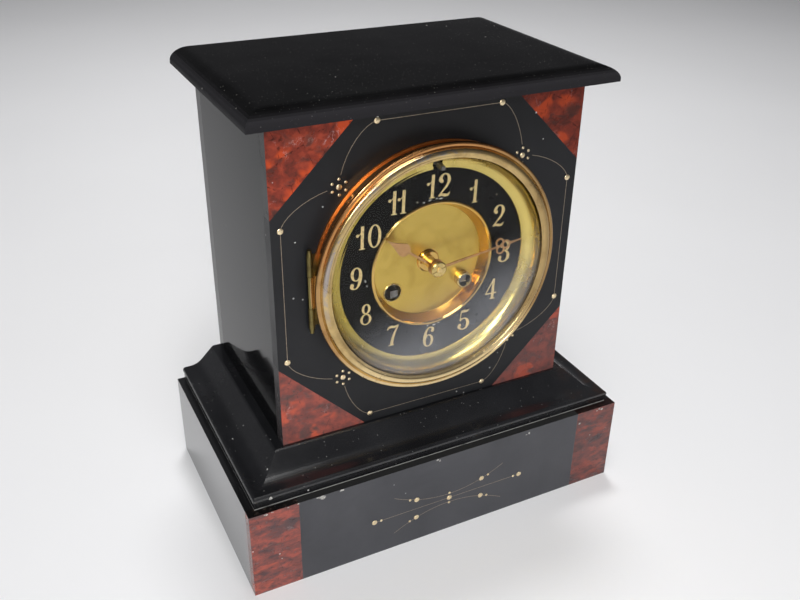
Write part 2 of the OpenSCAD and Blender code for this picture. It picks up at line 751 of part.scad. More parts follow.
// Each winding hole's ring: its place, outer radius, bore and height over the dish
grommets = [[strike_at, 5.3, 4.7, 0.45], [going_at, 4.4, 3.6, 4.3]];
module dial_centre() color(brass) difference() {
    turned([0, 0], [
        [dish_r + 1, dial_y], [dish_r + 1, dial_y - 0.5], [dish_r + 0.4, dial_y - 0.95],
        [dish_r - 0.3, dial_y - 0.9], [dish_r - 0.8, dial_y - 0.2], [dish_floor_r, dish_y],
        [boss_r, dish_y], [boss_r, dish_y - boss_t + 0.5], [boss_r - 0.6, dish_y - boss_t],
        [hour_pipe_r + run, dish_y - boss_t], [hour_pipe_r + run, dish_y + sheet_t],
        [dish_floor_r + 0.3, dish_y + sheet_t], [dish_r - 0.1, dial_y + 0.4], [dish_r - 0.1, dial_y]]);
    for (g = grommets) bar(g[0], g[1] - 0.35, dish_y - over, dish_y + 2 * over);
}
module winding_grommets() color(brass) for (g = grommets)
    turned(g[0], [[g[2], dish_y - g[3]], [g[1] - 0.35, dish_y - g[3]], [g[1], dish_y - g[3] + 0.25],
        [g[1], dish_y], [g[1] - 0.35, dish_y], [g[1] - 0.35, dish_y + 1], [g[2], dish_y + 1]]);

// Bezel: profile points are [radius, depth in front of the slate]
function from_face(p) = [for (q = p) [q[0], face_y - q[1]]];
hinge_gap = 1.1;
module bezel() color(brass) {
    difference() {
        turned([0, 0], from_face(concat(
            [[glass_r + 1.5, hinge_gap], [bezel_wall_r, hinge_gap], [bezel_wall_r, bezel_d - 6.9]],
            arc([bezel_wall_r + 2, bezel_d - 6.9], 2, 2.9, 180, 110, 5),
            [[bezel_r - 0.5, bezel_d - 3.9]],
            arc([bezel_r - 1, bezel_d - 2.6], 1, 1.3, -60, 90, 7),
            [[bezel_r - 2, bezel_d - 1.5], [bezel_r - 2.5, bezel_d - 2], [bezel_r - 3, bezel_d - 1.3]],
            arc([bezel_r - 5, bezel_d - 1.3], 2, 1.3, 20, 140, 7),
            [[glass_r - 0.5, bezel_d - 0.9], [glass_r - 0.5, glass_back + glass_edge + 0.1],
                [glass_r + 0.1, glass_back + glass_edge + 0.1], [glass_r + 0.1, glass_back],
                [glass_r + 1.5, glass_back]])));
        translate([-hinge_off, face_y - hinge_depth, dial_z - knuckle_half])
            cylinder(r = hinge_pin_r + run, h = 2 * knuckle_half);
    }
    moving_knuckle(-hinge_off, face_y - hinge_depth, -(bezel_wall_r - 1.5),
        face_y - hinge_depth - 0.7, face_y - hinge_gap - 0.1);
}

module bezel_glass() color([0.8, 0.88, 0.9, 0.35]) turned([0, 0], from_face([
    [0, glass_back], [glass_r, glass_back], [glass_r, glass_back + glass_edge],
    [glass_r - 0.6, glass_back + glass_edge], [glass_r - 0.6 - bevel_w, glass_front], [0, glass_front]]));

// Sloping ring between the glass and the dial, with a slot for the regulator arbor
module sight_ring() color(brass) difference() {
    turned([0, 0], from_face(concat(
        [[glass_r + 1.4, glass_back]],
        arc([sight_r + 0.9, glass_back], glass_r - 2.3 - sight_r, glass_back - sight_back - 1, 0, -90, 9),
        [[sight_r + 0.25, sight_back + 0.95], [sight_r, sight_back + 0.4], [sight_r + 0.3, sight_back - 0.1]],
        arc([sight_r + 1.1, glass_back], glass_r - 1.7 - sight_r, glass_back - sight_back + 0.1, -90, -6, 9),
        [[glass_r + 1.4, glass_back - 0.8]])));
    flat_dial(face_y - bezel_d, face_y) translate([-2.6, sight_r - 4])
        square([5.2, regulator_z + 2.6 - sight_r + 4]);
}

module bezel_hinge_pin() color(brass) hinge_pin(-hinge_off, face_y - hinge_depth);

// Rear ring, door and case screws
module rear_ring() color(brass) {
    turned([0, 0], [[rear_lip_r, back_y], [rear_lip_r, back_y + rear_flange_t],
        [rear_flange_r, back_y + rear_flange_t], [rear_flange_r, back_y], [rear_r - gap, back_y],
        [rear_r - gap, body_back_in - 1], [rear_r - 1 - gap, body_back_in - 1], [rear_r - 1 - gap, back_y]]);
    difference() {
        for (s = [-1, 1]) flat_dial(body_back_in - 1, body_back_in + 1)
            translate([s > 0 ? screw_x - 4 : -rear_r + 1.1, -5]) square([rear_r - 1.1 - screw_x + 4, 10]);
        for (s = [-1, 1]) bar([s * screw_x, 0], screw_r + 0.1, body_back_in - 2, body_back_in + 2);
    }
    hinge_leaf(rear_hinge_x, rear_hinge_y, back_y, rear_flange_r - 3);
}

module rear_door() color(brass) {
    y = rear_door_y;
    dome = knob_x - 5;
    turned([0, 0], [[0, y + 2.2], [dome - 8, y + 1.8], [dome, y], [rear_door_r, y], [rear_door_r, y + 0.9],
        [rear_door_r - 0.5, y + door_t], [dome + 0.6, y + door_t], [dome - 7.4, y + 1.6 + door_t],
        [0, y + 2 + door_t]]);
    moving_knuckle(rear_hinge_x, rear_hinge_y, rear_door_r - 1.5, y + 0.2, y + 1.2);
}

door_t = 1.3;
knob_x = 49;
module rear_knob() color(brass) {
    y = rear_door_y + door_t;
    turned([-knob_x, 0], [[0, y], [3.2, y], [3.2, y + 0.6], [1.6, y + 1.2], [1.6, y + 2.4],
        [3, y + 3.2], [3.6, y + 4.6], [3, y + 5.8], [1.4, y + 6.4], [0, y + 6.5]]);
}

module rear_hinge_pin() color(brass) hinge_pin(rear_hinge_x, rear_hinge_y);

module case_screws() color(steel) for (s = [-1, 1]) difference() {
    turned([s * screw_x, 0], [[0, screw_y0 - 2], [screw_r, screw_y0 - 1.5], [screw_r, body_back_in + 1],
        [3.4, body_back_in + 1], [3.4, body_back_in + 2.6], [2.6, body_back_in + 3.2],
        [0, body_back_in + 3.2]]);
    flat_dial(body_back_in + 2.2, body_back_in + 4) translate([s * screw_x - 4, -0.4]) square([8, 0.8]);
}

// Movement frame
pivots = [inter_at, third_at, escape_at, strike2_at, pin_at, warning_at, fly_at, hammer_at];
module front_plate() color(brass) {
    flat_dial(front_plate_y0, front_plate_y1) difference() {
        circle(plate_r);
        for (p = concat(pivots, [pallet_at])) translate(p) circle(pivot_r + run);
        translate(centre_at) circle(centre_r + run);
        for (p = [going_at, strike_at]) translate(p) circle(bearing_r + run);
        for (a = pillar_angles) translate(pillar_ring * polar(a)) circle(tenon_r);
    }
    bar(motion_at, stud_r, motion_pinion_y0 - 0.6, front_plate_y0);
}
tenon_r = 1.2;
stud_r = 0.8;

module back_plate() color(brass) flat_dial(back_plate_y0, back_plate_y1) difference() {
    circle(plate_r);
    for (p = concat(pivots, [centre_at])) if (p != hammer_at) translate(p) circle(pivot_r + run);
    translate(hammer_at) circle(arbor_r + run);
    translate(pallet_at) circle(2.4);
    for (p = [going_at, strike_at]) translate(p) circle(rear_bearing_r + run);
    for (a = pillar_angles) translate(pillar_ring * polar(a)) circle(tenon_r + run);
}

module pillars() color(brass) for (a = pillar_angles)
    turned(pillar_ring * polar(a), [[0, front_plate_y0], [tenon_r, front_plate_y0], [tenon_r, front_plate_y1],
        [pillar_r, front_plate_y1], [pillar_r, back_plate_y0], [tenon_r, back_plate_y0],
        [tenon_r, back_plate_y1], [2.4, back_plate_y1], [2.4, back_plate_y1 + 1.8],
        [0, back_plate_y1 + 2.2]]);

// Barrels: a drum with its toothed great wheel at the rear
module barrel(at, phase) {
    turned(at, [[core_r + run, drum_y0], [drum_r, drum_y0], [drum_r, barrel_y0],
        [core_r + run, barrel_y0], [core_r + run, barrel_y0 - 1.5], [drum_r - drum_wall, barrel_y0 - 1.5],
        [drum_r - drum_wall, drum_y0 + 1.5], [core_r + run, drum_y0 + 1.5]]);
    flat_dial(barrel_y0, barrel_y1) translate(at) difference() {
        wheel_teeth(barrel_n, barrel_m, phase);
        circle(core_r + run);
    }
}
going_phase = going_side(going_at, inter_at);
strike_phase = going_side(strike_at, strike2_at);
module going_barrel() color(brass) barrel(going_at, going_phase);
module strike_barrel() color(brass) barrel(strike_at, strike_phase);

// Mainspring, wound inside its barrel
spring_turns = 6;
spring_t = 0.6;
spring_in = core_r + 0.6;
spring_out = drum_r - drum_wall - 0.5;
module mainspring(at) color(steel) flat_dial(drum_y0 + 2, barrel_y0 - 2) translate(at)
    line([for (i = [0:spring_turns * 18]) let (t = i / (spring_turns * 18))
        (spring_in + (spring_out - spring_in) * t) * polar(360 * spring_turns * t)], spring_t);
module going_mainspring() mainspring(going_at);
module strike_mainspring() mainspring(strike_at);

// Winding arbor with its square, ratchet wheel, core and pivots
ratchet_n = 20;
ratchet_r = 6;
module winding_arbor(at) color(steel) {
    flat_dial(dish_y - 2, front_plate_y0 - 3.5) translate(at - [square_w / 2, square_w / 2])
        square(square_w);
    flat_dial(front_plate_y0 - 3.5, front_plate_y0 - 1) translate(at)
        polygon([for (i = [0:ratchet_n - 1], k = [[ratchet_r, 0], [ratchet_r - 1, 1]])
            k[0] * polar(360 * (i + 0.85 * k[1]) / ratchet_n)]);
    bar(at, bearing_r, front_plate_y0 - 1, front_plate_y1 + 0.5);
    bar(at, core_r, front_plate_y1 + 0.5, barrel_y1 + 1);
    bar(at, rear_bearing_r, barrel_y1 + 1, back_plate_y1);
    bar(at, rear_bearing_r + 0.8, barrel_y1 + 1, back_plate_y0 - end_shake);
}
module going_arbor() winding_arbor(going_at);
module strike_arbor() winding_arbor(strike_at);

// Going train
module intermediate_wheel() color(brass) {
    crossed_wheel(inter_at, inter_n, inter_m, going_side(inter_at, centre_at), inter_y, 4);
    pinion(inter_at, second_pinion_n, barrel_m, going_phase + 180, barrel_y0 - 1, barrel_y1 + 1);
    arbor(inter_at);
}
module centre_wheel() color(brass) {
    crossed_wheel(centre_at, centre_n, third_m, going_side(centre_at, third_at), centre_y, 4);
    pinion(centre_at, centre_pinion_n, inter_m, going_side(inter_at, centre_at) + 180,
        inter_y - 1, inter_y + wheel_t + 1);
    bar(centre_at, centre_r, nut_y - 0.4, arbor_y1);
    bar(centre_at, pivot_r, arbor_y1, back_plate_y1);
}
module third_wheel() color(brass) {
    crossed_wheel(third_at, third_n, escape_m, going_side(third_at, escape_at), third_y, 4);
    pinion(third_at, third_pinion_n, third_m, going_side(centre_at, third_at) + 180,
        centre_y - 0.8, centre_y + wheel_t + 0.4);
    arbor(third_at);
}
module escape_wheel() color(brass) {
    flat_dial(escape_y, escape_y + 0.8) translate(escape_at) difference() {
        polygon([for (i = [0:escape_n - 1], k = [[escape_r, 0], [escape_r - 1.3, 0.5], [escape_r - 1.3, 0.85]])
            k[0] * polar(360 * (i + k[1]) / escape_n)]);
        windows(2.4, escape_r - 2.4, 4, 1.1);
    }
    pinion(escape_at, escape_pinion_n, escape_m, going_side(third_at, escape_at) + 180,
        third_y - 0.6, third_y + wheel_t + 0.6);
    arbor(escape_at);
}

// Pallet anchor, its arbor and the crutch that follows the pendulum
module pallets() color(steel) {
    flat_dial(escape_y - 0.4, escape_y + 1.2) translate(pallet_at) {
        circle(2.2);
        for (s = [-1, 1]) polygon(ribbon(
            [[0, 0.6], [s * 2.6, 0.5], [s * 4.8, -0.6], [s * 6.9, -3]], [2.2, 2, 1.7, 1.4]));
    }
    bar(pallet_at, arbor_r, arbor_y0, cock_y0 - end_shake);
    bar(pallet_at, pivot_r, front_plate_y0, cock_y1);
    flat_dial(crutch_y, crutch_y + 1.4) translate(pallet_at) {
        circle(2);
        translate([-1, -crutch_l]) square([2, crutch_l]);
        translate([-fork_x - 0.8, -crutch_l - 1.6]) square([2 * fork_x + 1.6, 2.4]);
    }
    for (s = [-1, 1]) bar(pallet_at + [s * fork_x, -crutch_l - 0.4], 0.6, crutch_y, pendulum_y + 2);
}
fork_x = rod_r + 0.7;

// Motion work
pipe_run = 0.05;
module cannon_pinion() color(steel) difference() {
    union() {
        pinion(centre_at, cannon_n, motion_m, -90, cannon_y0, front_plate_y0 - 0.6);
        bar(centre_at, cannon_pipe_r, nut_y + 1.4, front_plate_y0 - 0.6);
    }
    bar(centre_at, centre_r + run, nut_y, front_plate_y0 + over);
}
module minute_wheel() color(brass) difference() {
    union() {
        crossed_wheel(motion_at, motion_n, motion_m, 90, motion_y0, 3);
        pinion(motion_at, motion_pinion_n, hour_m, 90, motion_pinion_y0, motion_y0);
    }
    bar(motion_at, stud_r + run, motion_pinion_y0 - over, front_plate_y0);
}
module hour_wheel() color(brass) difference() {
    union() {
        flat_dial(hour_wheel_y0, hour_wheel_y0 + 1.1) difference() {
            wheel_teeth(hour_n, hour_m, -90);
            windows(4.2, 7.2, 3, 1.6);
        }
        turned(centre_at, [[0, hour_wheel_y0 + 1.1], [hour_pipe_r, hour_wheel_y0 + 1.1],
            [hour_pipe_r, hour_hand_y - 0.2], [0, hour_hand_y - 0.2]]);
    }
    bar(centre_at, cannon_pipe_r + pipe_run, hour_hand_y - 2, front_plate_y0);
}

// Hands, drawn pointing to twelve
module pointing(a) rotate(-a) children();
module hour_hand() color(copper) flat_dial(hour_hand_y, hour_hand_y + hand_t) pointing(hour_a) {
    half = 3.5;
    leaf = hour_l - 11.5;
    // One side of the leaf bends in from the round end to the tip
    side = [for (i = [1:8]) let (t = i / 9)
        pow(1 - t, 2) * half * [cos(25), sin(25)] + 2 * t * (1 - t) * [1.2, 5.6]
            + t * t * [0, hour_l - leaf]];
    difference() {
        circle(hour_pipe_r + 1.3);
        circle(hour_pipe_r);
    }
    translate([-0.6, hour_pipe_r + 0.2]) square([1.2, leaf - half - hour_pipe_r + 0.6]);
    translate([0, leaf]) polygon(concat(arc([0, 0], half, half, -205, 25, 16), side, [[0, hour_l - leaf]],
        [for (i = [7:-1:0]) [-side[i][0], side[i][1]]]));
}

trefoil_y = minute_l - 12.9;
loop_r = 2.5;
loop_in = 1.7;
loop_step = 4.35;
loops = [[-loop_step / 2, trefoil_y], [loop_step / 2, trefoil_y], [0, trefoil_y + loop_step * sin(60)]];
module minute_hand() color(copper) flat_dial(minute_hand_y, minute_hand_y + hand_t) pointing(minute_a) {
    difference() {
        union() {
            circle(cannon_pipe_r + 1.2);
            polygon(ribbon([[0, 0], [0, trefoil_y - 1]], [1.5, 0.9]));
            for (p = loops) translate(p) circle(loop_r);
            polygon(ribbon([loops[2] + [0, loop_r - 0.4], loops[2] + [0, loop_r + 3], [0, minute_l]],
                [1.3, 0.9, 0.4]));
        }
        circle(cannon_pipe_r);
        for (p = loops) translate(p) circle(loop_in);
    }
}
module hand_nut() color(brass) difference() {
    turned(centre_at, [[centre_r + run, nut_y], [nut_r - 0.5, nut_y], [nut_r, nut_y + 0.4],
        [nut_r, nut_y + 1.1], [nut_r - 0.6, nut_y + 1.6], [cannon_pipe_r + 0.02, nut_y + 1.6],
        [cannon_pipe_r + 0.02, nut_y + 1.4], [centre_r + run, nut_y + 1.4]]);
    for (a = [20, 110]) flat_dial(nut_y - over, nut_y + 0.35) rotate(a)
        translate([-nut_r - over, -0.25]) square([2 * nut_r + 2 * over, 0.5]);
}

// Back cock, suspension and regulator
regulator_r = 1.4;
module back_cock() color(brass) difference() {
    union() {
        for (s = [-1, 1]) flat_dial(back_plate_y1, cock_y0)
            translate([s * 14 - 2.5, pallet_z + 2]) square([5, 8]);
        flat_dial(cock_y0, cock_y1) {
            translate([-16.5, pallet_z - 4]) square([33, 14]);
            translate([-5, pallet_z]) square([10, regulator_z - pallet_z + 4]);
        }
        flat_dial(cock_y1, pendulum_y + 3) translate([-4, pallet_z + 7]) square([8, 7]);
    }
    bar(pallet_at, pivot_r + run, cock_y0 - over, cock_y1 + over);
    bar([0, regulator_z], regulator_r + run, cock_y0 - over, cock_y1 + over);
    flat_dial(cock_y1 + 0.6, pendulum_y + 3 + over) translate([-chop_w / 2 - run, pallet_z + 6])
        square([chop_w + 2 * run, 9]);
}
chop_travel = 0.7;
module suspension_spring() color(brass) {
    flat_dial(cock_y1 + 0.8, pendulum_y + 2.6) translate([-chop_w / 2, pallet_z + 7.5]) square([chop_w, 6]);
    flat_dial(pendulum_y - 1.7, pendulum_y + 1.7) translate([-0.1, pallet_z - 0.8]) square([0.2, 9]);
}
module regulator_arbor() color(steel) {
    flat_dial(dial_y - 7, dial_y - 1) translate([-1, regulator_z - 1]) square(2);
    bar([0, regulator_z], regulator_r, dial_y - 1, cock_y1 + 0.4);
    flat_dial(cock_y1 + 0.4, cock_y1 + 2) translate([0, regulator_z]) pinion_teeth(14, 0.4, 0);
}

// Pendulum, hanging from the pallet arbor's line
module pendulum_rod() color(steel) {
    top = pallet_z - 2.2;
    flat_dial(pendulum_y - 2, pendulum_y + 2) translate([-1.8, top - 5]) square([3.6, 5]);
    translate([0, pendulum_y, dial_z + pallet_z - pendulum_l - bob_r - 3])
        cylinder(r = rod_r, h = pendulum_l + bob_r + 3 - 2.2 - 4);
}
bob_half = 4.5;
bob_edge = 0.8;
module pendulum_bob() color(brass) difference() {
    lens_r = (bob_r * bob_r + pow(bob_half - bob_edge, 2)) / (2 * (bob_half - bob_edge));
    lens_a = asin(bob_r / lens_r);
    translate([0, pendulum_y, dial_z + pallet_z - pendulum_l]) {
        rotate([-90, 0, 0]) rotate_extrude() polygon(concat(
            [for (i = [0:8]) let (a = lens_a * i / 8) [lens_r * sin(a), lens_r * cos(a) - lens_r + bob_half]],
            [for (i = [8:-1:0]) let (a = lens_a * i / 8) [lens_r * sin(a), lens_r - lens_r * cos(a) - bob_half]]));
        translate([0, 0, -bob_r - 2.2]) cylinder(r = 2.6, h = 2.6);
    }
    translate([0, pendulum_y, dial_z + pallet_z - pendulum_l - bob_r - 4])
        cylinder(r = rod_r, h = 2 * bob_r + 8);
}

// Strike train
module strike_wheel() color(brass) {
    crossed_wheel(strike2_at, strike_n, inter_m, going_side(strike2_at, pin_at), inter_y, 4);
    pinion(strike2_at, second_pinion_n, barrel_m, strike_phase + 180, barrel_y0 - 1, barrel_y1 + 1);
    arbor(strike2_at);
}
lift_pins = 10;
lift_ring = 9;
module pin_wheel() color(brass) {
    crossed_wheel(pin_at, pin_n, pin_m, going_side(pin_at, warning_at), pin_y, 4,
        pin_n * pin_m / 2 - 2.6 * pin_m - lift_ring + 1.1);
    pinion(pin_at, pin_pinion_n, inter_m, going_side(strike2_at, pin_at) + 180,
        inter_y - 1, inter_y + wheel_t + 1);
    for (i = [0:lift_pins - 1]) bar(pin_at + lift_ring * polar(36 * i), 0.5, pin_y + 0.4, pin_y + 4);
    arbor(pin_at);
}
module warning_wheel() color(brass) {
    crossed_wheel(warning_at, warning_n, warning_m, going_side(warning_at, fly_at), warning_y, 3);
    pinion(warning_at, warning_pinion_n, pin_m, going_side(pin_at, warning_at) + 180,
        pin_y - 0.8, pin_y + wheel_t + 0.8);
    arbor(warning_at);
}
fly_r = 7.2;
module fly() color(brass) {
    flat_dial(pin_y - 4, pin_y + 12) translate(fly_at) rotate(35)
        translate([-fly_r, -0.3]) square([2 * fly_r, 0.6]);
    pinion(fly_at, fly_pinion_n, warning_m, going_side(warning_at, fly_at) + 180,
        warning_y - 0.8, warning_y + wheel_t + 0.8);
    bar(fly_at, 1.5, pin_y - 4, pin_y + 12);
    arbor(fly_at);
}

// Hammer: arbor, lifting tail, stem and head
module hammer() color(steel) {
    tail = going_side(hammer_at, pin_at);
    bar(hammer_at, arbor_r, arbor_y0, hammer_y + 1);
    bar(hammer_at, pivot_r, front_plate_y0, arbor_y0 + over);
    flat_dial(pin_y + 1.8, pin_y + 3.4) translate(hammer_at) {
        circle(1.8);
        rotate(tail) translate([0, -0.8]) square([7.5, 1.6]);
    }
    flat_dial(hammer_y - 1, hammer_y + 1) {
        translate(hammer_at) circle(2.2);
        line([hammer_at, hammer_head_at], 2);
    }
    translate([hammer_head_at[0], hammer_y, dial_z + hammer_head_at[1]]) rotate([0, 90 - hammer_dir, 0])
        cylinder(r = hammer_head_r, h = hammer_head_l, center = true);
}

module bell() color(steel) {
    y1 = bell_y0 + bell_depth;
    out = concat([[bell_r, bell_y0]], arc([bell_r - 17, bell_y0 + 2], 17, bell_depth - 2, 0, 90, 10));
    inner = concat(arc([bell_r - 17, bell_y0 + 2], 17 - bell_wall, bell_depth - 2 - bell_wall, 90, 0, 10),
        [[bell_r - bell_wall, bell_y0]]);
    turned(bell_at, concat(out, [[post_r + 0.1, y1], [post_r + 0.1, y1 - bell_wall]], inner));
}
post_r = 2;
module bell_stand() color(brass) {
    y1 = bell_y0 + bell_depth;
    turned(bell_at, [[0, back_plate_y1], [4.2, back_plate_y1], [4.2, back_plate_y1 + 1.6],
        [post_r + 0.6, back_plate_y1 + 2.4], [post_r + 0.6, y1 - bell_wall - 2.5],
        [3.8, y1 - bell_wall - 2.5], [3.8, y1 - bell_wall], [post_r, y1 - bell_wall], [post_r, y1],
        [4, y1], [4, y1 + 2.4], [2.6, y1 + 3.2], [0, y1 + 3.2]]);
}

plinth_front();
plinth_marbles();
plinth_sides();
base_slab();
base_back();
moulding_front();
moulding_sides();
body_front();
marble_corners();
body_side_left();
body_side_right();
body_back();
top_slab();
gilt_inlay();
front_ring();
dial_ring();
numerals();
dial_centre();
winding_grommets();
bezel();
bezel_glass();
sight_ring();
bezel_hinge_pin();
rear_ring();
rear_door();
rear_knob();
rear_hinge_pin();
case_screws();
front_plate();
back_plate();
pillars();
going_barrel();
going_mainspring();
going_arbor();
intermediate_wheel();
centre_wheel();
third_wheel();
escape_wheel();
pallets();
cannon_pinion();
minute_wheel();
hour_wheel();
hour_hand();
minute_hand();
hand_nut();
back_cock();
suspension_spring();
regulator_arbor();
pendulum_rod();
pendulum_bob();
strike_barrel();
strike_mainspring();
strike_arbor();
strike_wheel();
pin_wheel();
warning_wheel();
fly();
hammer();
bell();
bell_stand();
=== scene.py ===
"""Slate mantel clock: finishes, small surface detail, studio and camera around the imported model."""

import math
import random

import bmesh
import bpy
from mathutils import Matrix, Vector


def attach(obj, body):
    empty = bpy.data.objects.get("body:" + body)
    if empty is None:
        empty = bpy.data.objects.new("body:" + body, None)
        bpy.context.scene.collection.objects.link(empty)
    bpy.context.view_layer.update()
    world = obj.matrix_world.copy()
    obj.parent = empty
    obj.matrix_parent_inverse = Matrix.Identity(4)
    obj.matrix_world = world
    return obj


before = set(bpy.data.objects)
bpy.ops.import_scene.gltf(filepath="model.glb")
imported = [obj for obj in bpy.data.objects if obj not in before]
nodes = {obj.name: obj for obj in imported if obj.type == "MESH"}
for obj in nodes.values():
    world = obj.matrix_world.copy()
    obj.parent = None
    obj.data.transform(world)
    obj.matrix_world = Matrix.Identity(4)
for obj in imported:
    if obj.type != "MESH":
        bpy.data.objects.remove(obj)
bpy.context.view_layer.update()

# Places in metres
MM = 0.001
FRONT, UP = Vector((0, -1, 0)), Vector((0, 0, 1))
DIAL_Z = 0.161  # height of the dial's centre
DIAL_Y = -0.044  # front face of the chapter ring
SLATE_Y = -0.043  # front face of the body
BASE_Y = -0.069  # front face of the base
PATTERN_X, PATTERN_Z = 0.002, 0.02295  # centre of the engraving on the base
FOOT_LINE = (0.05465, 0.05445)  # heights between which the pale line under the mouldings fades in

# Distances from the dial's centre between which a finish fades in or out
WALL_IN = (0.0653, 0.0658)  # the bezel's outer wall
ROLL_IN, ROLL_OUT = (0.0655, 0.067), (0.0689, 0.0685)  # the bezel's rolled rim
KNUCKLE_IN = (0.0685, 0.0689)  # the bezel's hinge knuckle, outside the rim
LIP_IN, LIP_OUT = (0.0628, 0.0633), (0.0656, 0.0648)  # the bezel's flat lip
FLANGE_IN, FLANGE_OUT = (0.0656, 0.0661), (0.0674, 0.067)  # the front ring's flange
DISH_WALL, DISH_BOSS = (0.0308, 0.0312), (0.0068, 0.0062)  # the sunk centre's wall and boss

REFLECTION_FILM_SHARE = 0.11  # share of the light that the pale film low on the glass, a painted reflection of the bright floor, holds back
FLOOR_HALF = 6.0  # half the floor's side


# Shader building

class Shader:
    """A material with one Principled shader, whose nodes are added by short calls."""

    def __init__(self, name, color=(0.8, 0.8, 0.8), rough=0.5, metal=0.0, **sockets):
        self.material = bpy.data.materials.new(name)
        self.material.use_nodes = True
        self.tree = self.material.node_tree
        self.tree.nodes.clear()
        self.out = self.add("ShaderNodeOutputMaterial")
        self.bsdf = self.add("ShaderNodeBsdfPrincipled")
        self.wire(self.bsdf.outputs[0], self.out.inputs["Surface"])
        self.set("Base Color", (*color, 1))
        self.set("Roughness", rough)
        self.set("Metallic", metal)
        for socket, value in sockets.items():
            self.set(socket.replace("_", " "), value)
        self.place = self.add("ShaderNodeTexCoord").outputs["Object"]

    def add(self, kind, **settings):
        node = self.tree.nodes.new(kind)
        for key, value in settings.items():
            setattr(node, key, value)
        return node

    def wire(self, source, target):
        """Links an output, or sets a plain value, on an input."""
        if isinstance(source, bpy.types.NodeSocket):
            self.tree.links.new(source, target)
        else:
            target.default_value = source
        return target

    def set(self, socket, value):
        self.wire(value, self.bsdf.inputs[socket])

    def stretch(self, x, y, z, turn=(0, 0, 0), where=None):
        """The place, turned and then scaled along each axis, for grain that runs one way."""
        node = self.add("ShaderNodeMapping")
        self.wire(where or self.place, node.inputs["Vector"])
        node.inputs["Scale"].default_value = (x, y, z)
        node.inputs["Rotation"].default_value = turn
        return node.outputs[0]

    def noise(self, scale, detail=3.0, rough=0.5, distort=0.0, where=None):
        node = self.add("ShaderNodeTexNoise")
        self.wire(where or self.place, node.inputs["Vector"])
        node.inputs["Scale"].default_value = scale
        node.inputs["Detail"].default_value = detail
        node.inputs["Roughness"].default_value = rough
        node.inputs["Distortion"].default_value = distort
        return node.outputs["Fac"]

    def cells(self, scale, feature="F1", where=None):
        node = self.add("ShaderNodeTexVoronoi", feature=feature)
        self.wire(where or self.place, node.inputs["Vector"])
        node.inputs["Scale"].default_value = scale
        return node

    def math(self, operation, a, b=0.0, c=0.0):
        node = self.add("ShaderNodeMath", operation=operation)
        for socket, value in zip(node.inputs, (a, b, c)):
            self.wire(value, socket)
        return node.outputs[0]

    def times(self, first, *more):
        """The product of two or more values."""
        for value in more:
            first = self.math("MULTIPLY", first, value)
        return first

    def fit(self, value, low, high, to_low=0.0, to_high=1.0):
        """A value that goes smoothly from to_low at low to to_high at high."""
        node = self.add("ShaderNodeMapRange", interpolation_type="SMOOTHSTEP")
        for socket, v in zip(node.inputs, (value, low, high, to_low, to_high)):
            self.wire(v, socket)
        return node.outputs[0]

    def ramp(self, value, *stops):
        """A colour ramp from (position, (r, g, b)) stops."""
        node = self.add("ShaderNodeValToRGB")
        self.wire(value, node.inputs[0])
        elements = node.color_ramp.elements
        while len(elements) < len(stops):
            elements.new(0.5)
        for element, (position, color) in zip(elements, stops):
            element.position = position
            element.color = (*color, 1)
        return node.outputs[0]

    def mix(self, factor, a, b):
        node = self.add("ShaderNodeMix", data_type="RGBA")
        self.wire(factor, node.inputs[0])
        for value, socket in ((a, node.inputs[6]), (b, node.inputs[7])):
            self.wire((*value, 1) if isinstance(value, tuple) else value, socket)
        return node.outputs[2]

    def split(self, where=None):
        node = self.add("ShaderNodeSeparateXYZ")
        self.wire(where or self.place, node.inputs[0])
        return node.outputs

    def facing(self):
        """Which way the surface looks: its sideways, backward and upward share."""
        return self.split(self.add("ShaderNodeNewGeometry").outputs["Normal"])

    def about_dial(self):
        """The sideways and upward place from the dial's centre, and the distance from it."""
        x, _, z = self.split()
        height = self.math("SUBTRACT", z, DIAL_Z)
        squares = self.math("ADD", self.math("POWER", x, 2.0), self.math("POWER", height, 2.0))
        return x, height, self.math("SQRT", squares)

    def base_so_far(self):
        return self.bsdf.inputs["Base Color"].links[0].from_socket

    def bump(self, height, depth, strength=1.0):
        node = self.add("ShaderNodeBump")
        self.wire(height, node.inputs["Height"])
        node.inputs["Distance"].default_value = depth
        node.inputs["Strength"].default_value = strength
        self.set("Normal", node.outputs[0])


def darker(color, share):
    return tuple(c * share for c in color)


def dust(shader, base, amount, scale, tint=(0.5, 0.5, 0.48)):
    """Fine pale specks laid over a colour; amount is the share of cells that hold one."""
    cell = shader.cells(scale)
    pick = shader.split(cell.outputs["Color"])
    chosen = shader.math("LESS_THAN", pick[0], amount)
    near = shader.fit(cell.outputs["Distance"], 0.28, 0.12)
    return shader.mix(shader.times(chosen, near), base, tint)


# Stone

def slate(name, rough, ior, low, high):
    """The start of a slate finish: its shader, and a clouded colour between low and high."""
    s = Shader(name, rough=rough, IOR=ior)
    return s, s.ramp(s.noise(35, 5, 0.6), (0.3, low), (0.75, high))


def wiping_marks(shader, rough, unevenness):
    marks = shader.noise(14, 4, 0.62, 0.6, shader.stretch(1, 1, 0.4, (0.3, 0.2, 0.5)))
    shader.set("Roughness", shader.fit(marks, 0.35, 0.75, rough, rough + unevenness))


def faint_swell(shader):
    shader.bump(shader.noise(160, 2), 0.00002, 0.4)


def polished_slate(name, specks, rough, unevenness, ior, low, high):
    s, tone = slate(name, rough, ior, low, high)
    s.set("Base Color", dust(s, dust(s, tone, specks, 1100.0), specks * 0.2, 420.0))
    wiping_marks(s, rough, unevenness)
    faint_swell(s)
    return s.material


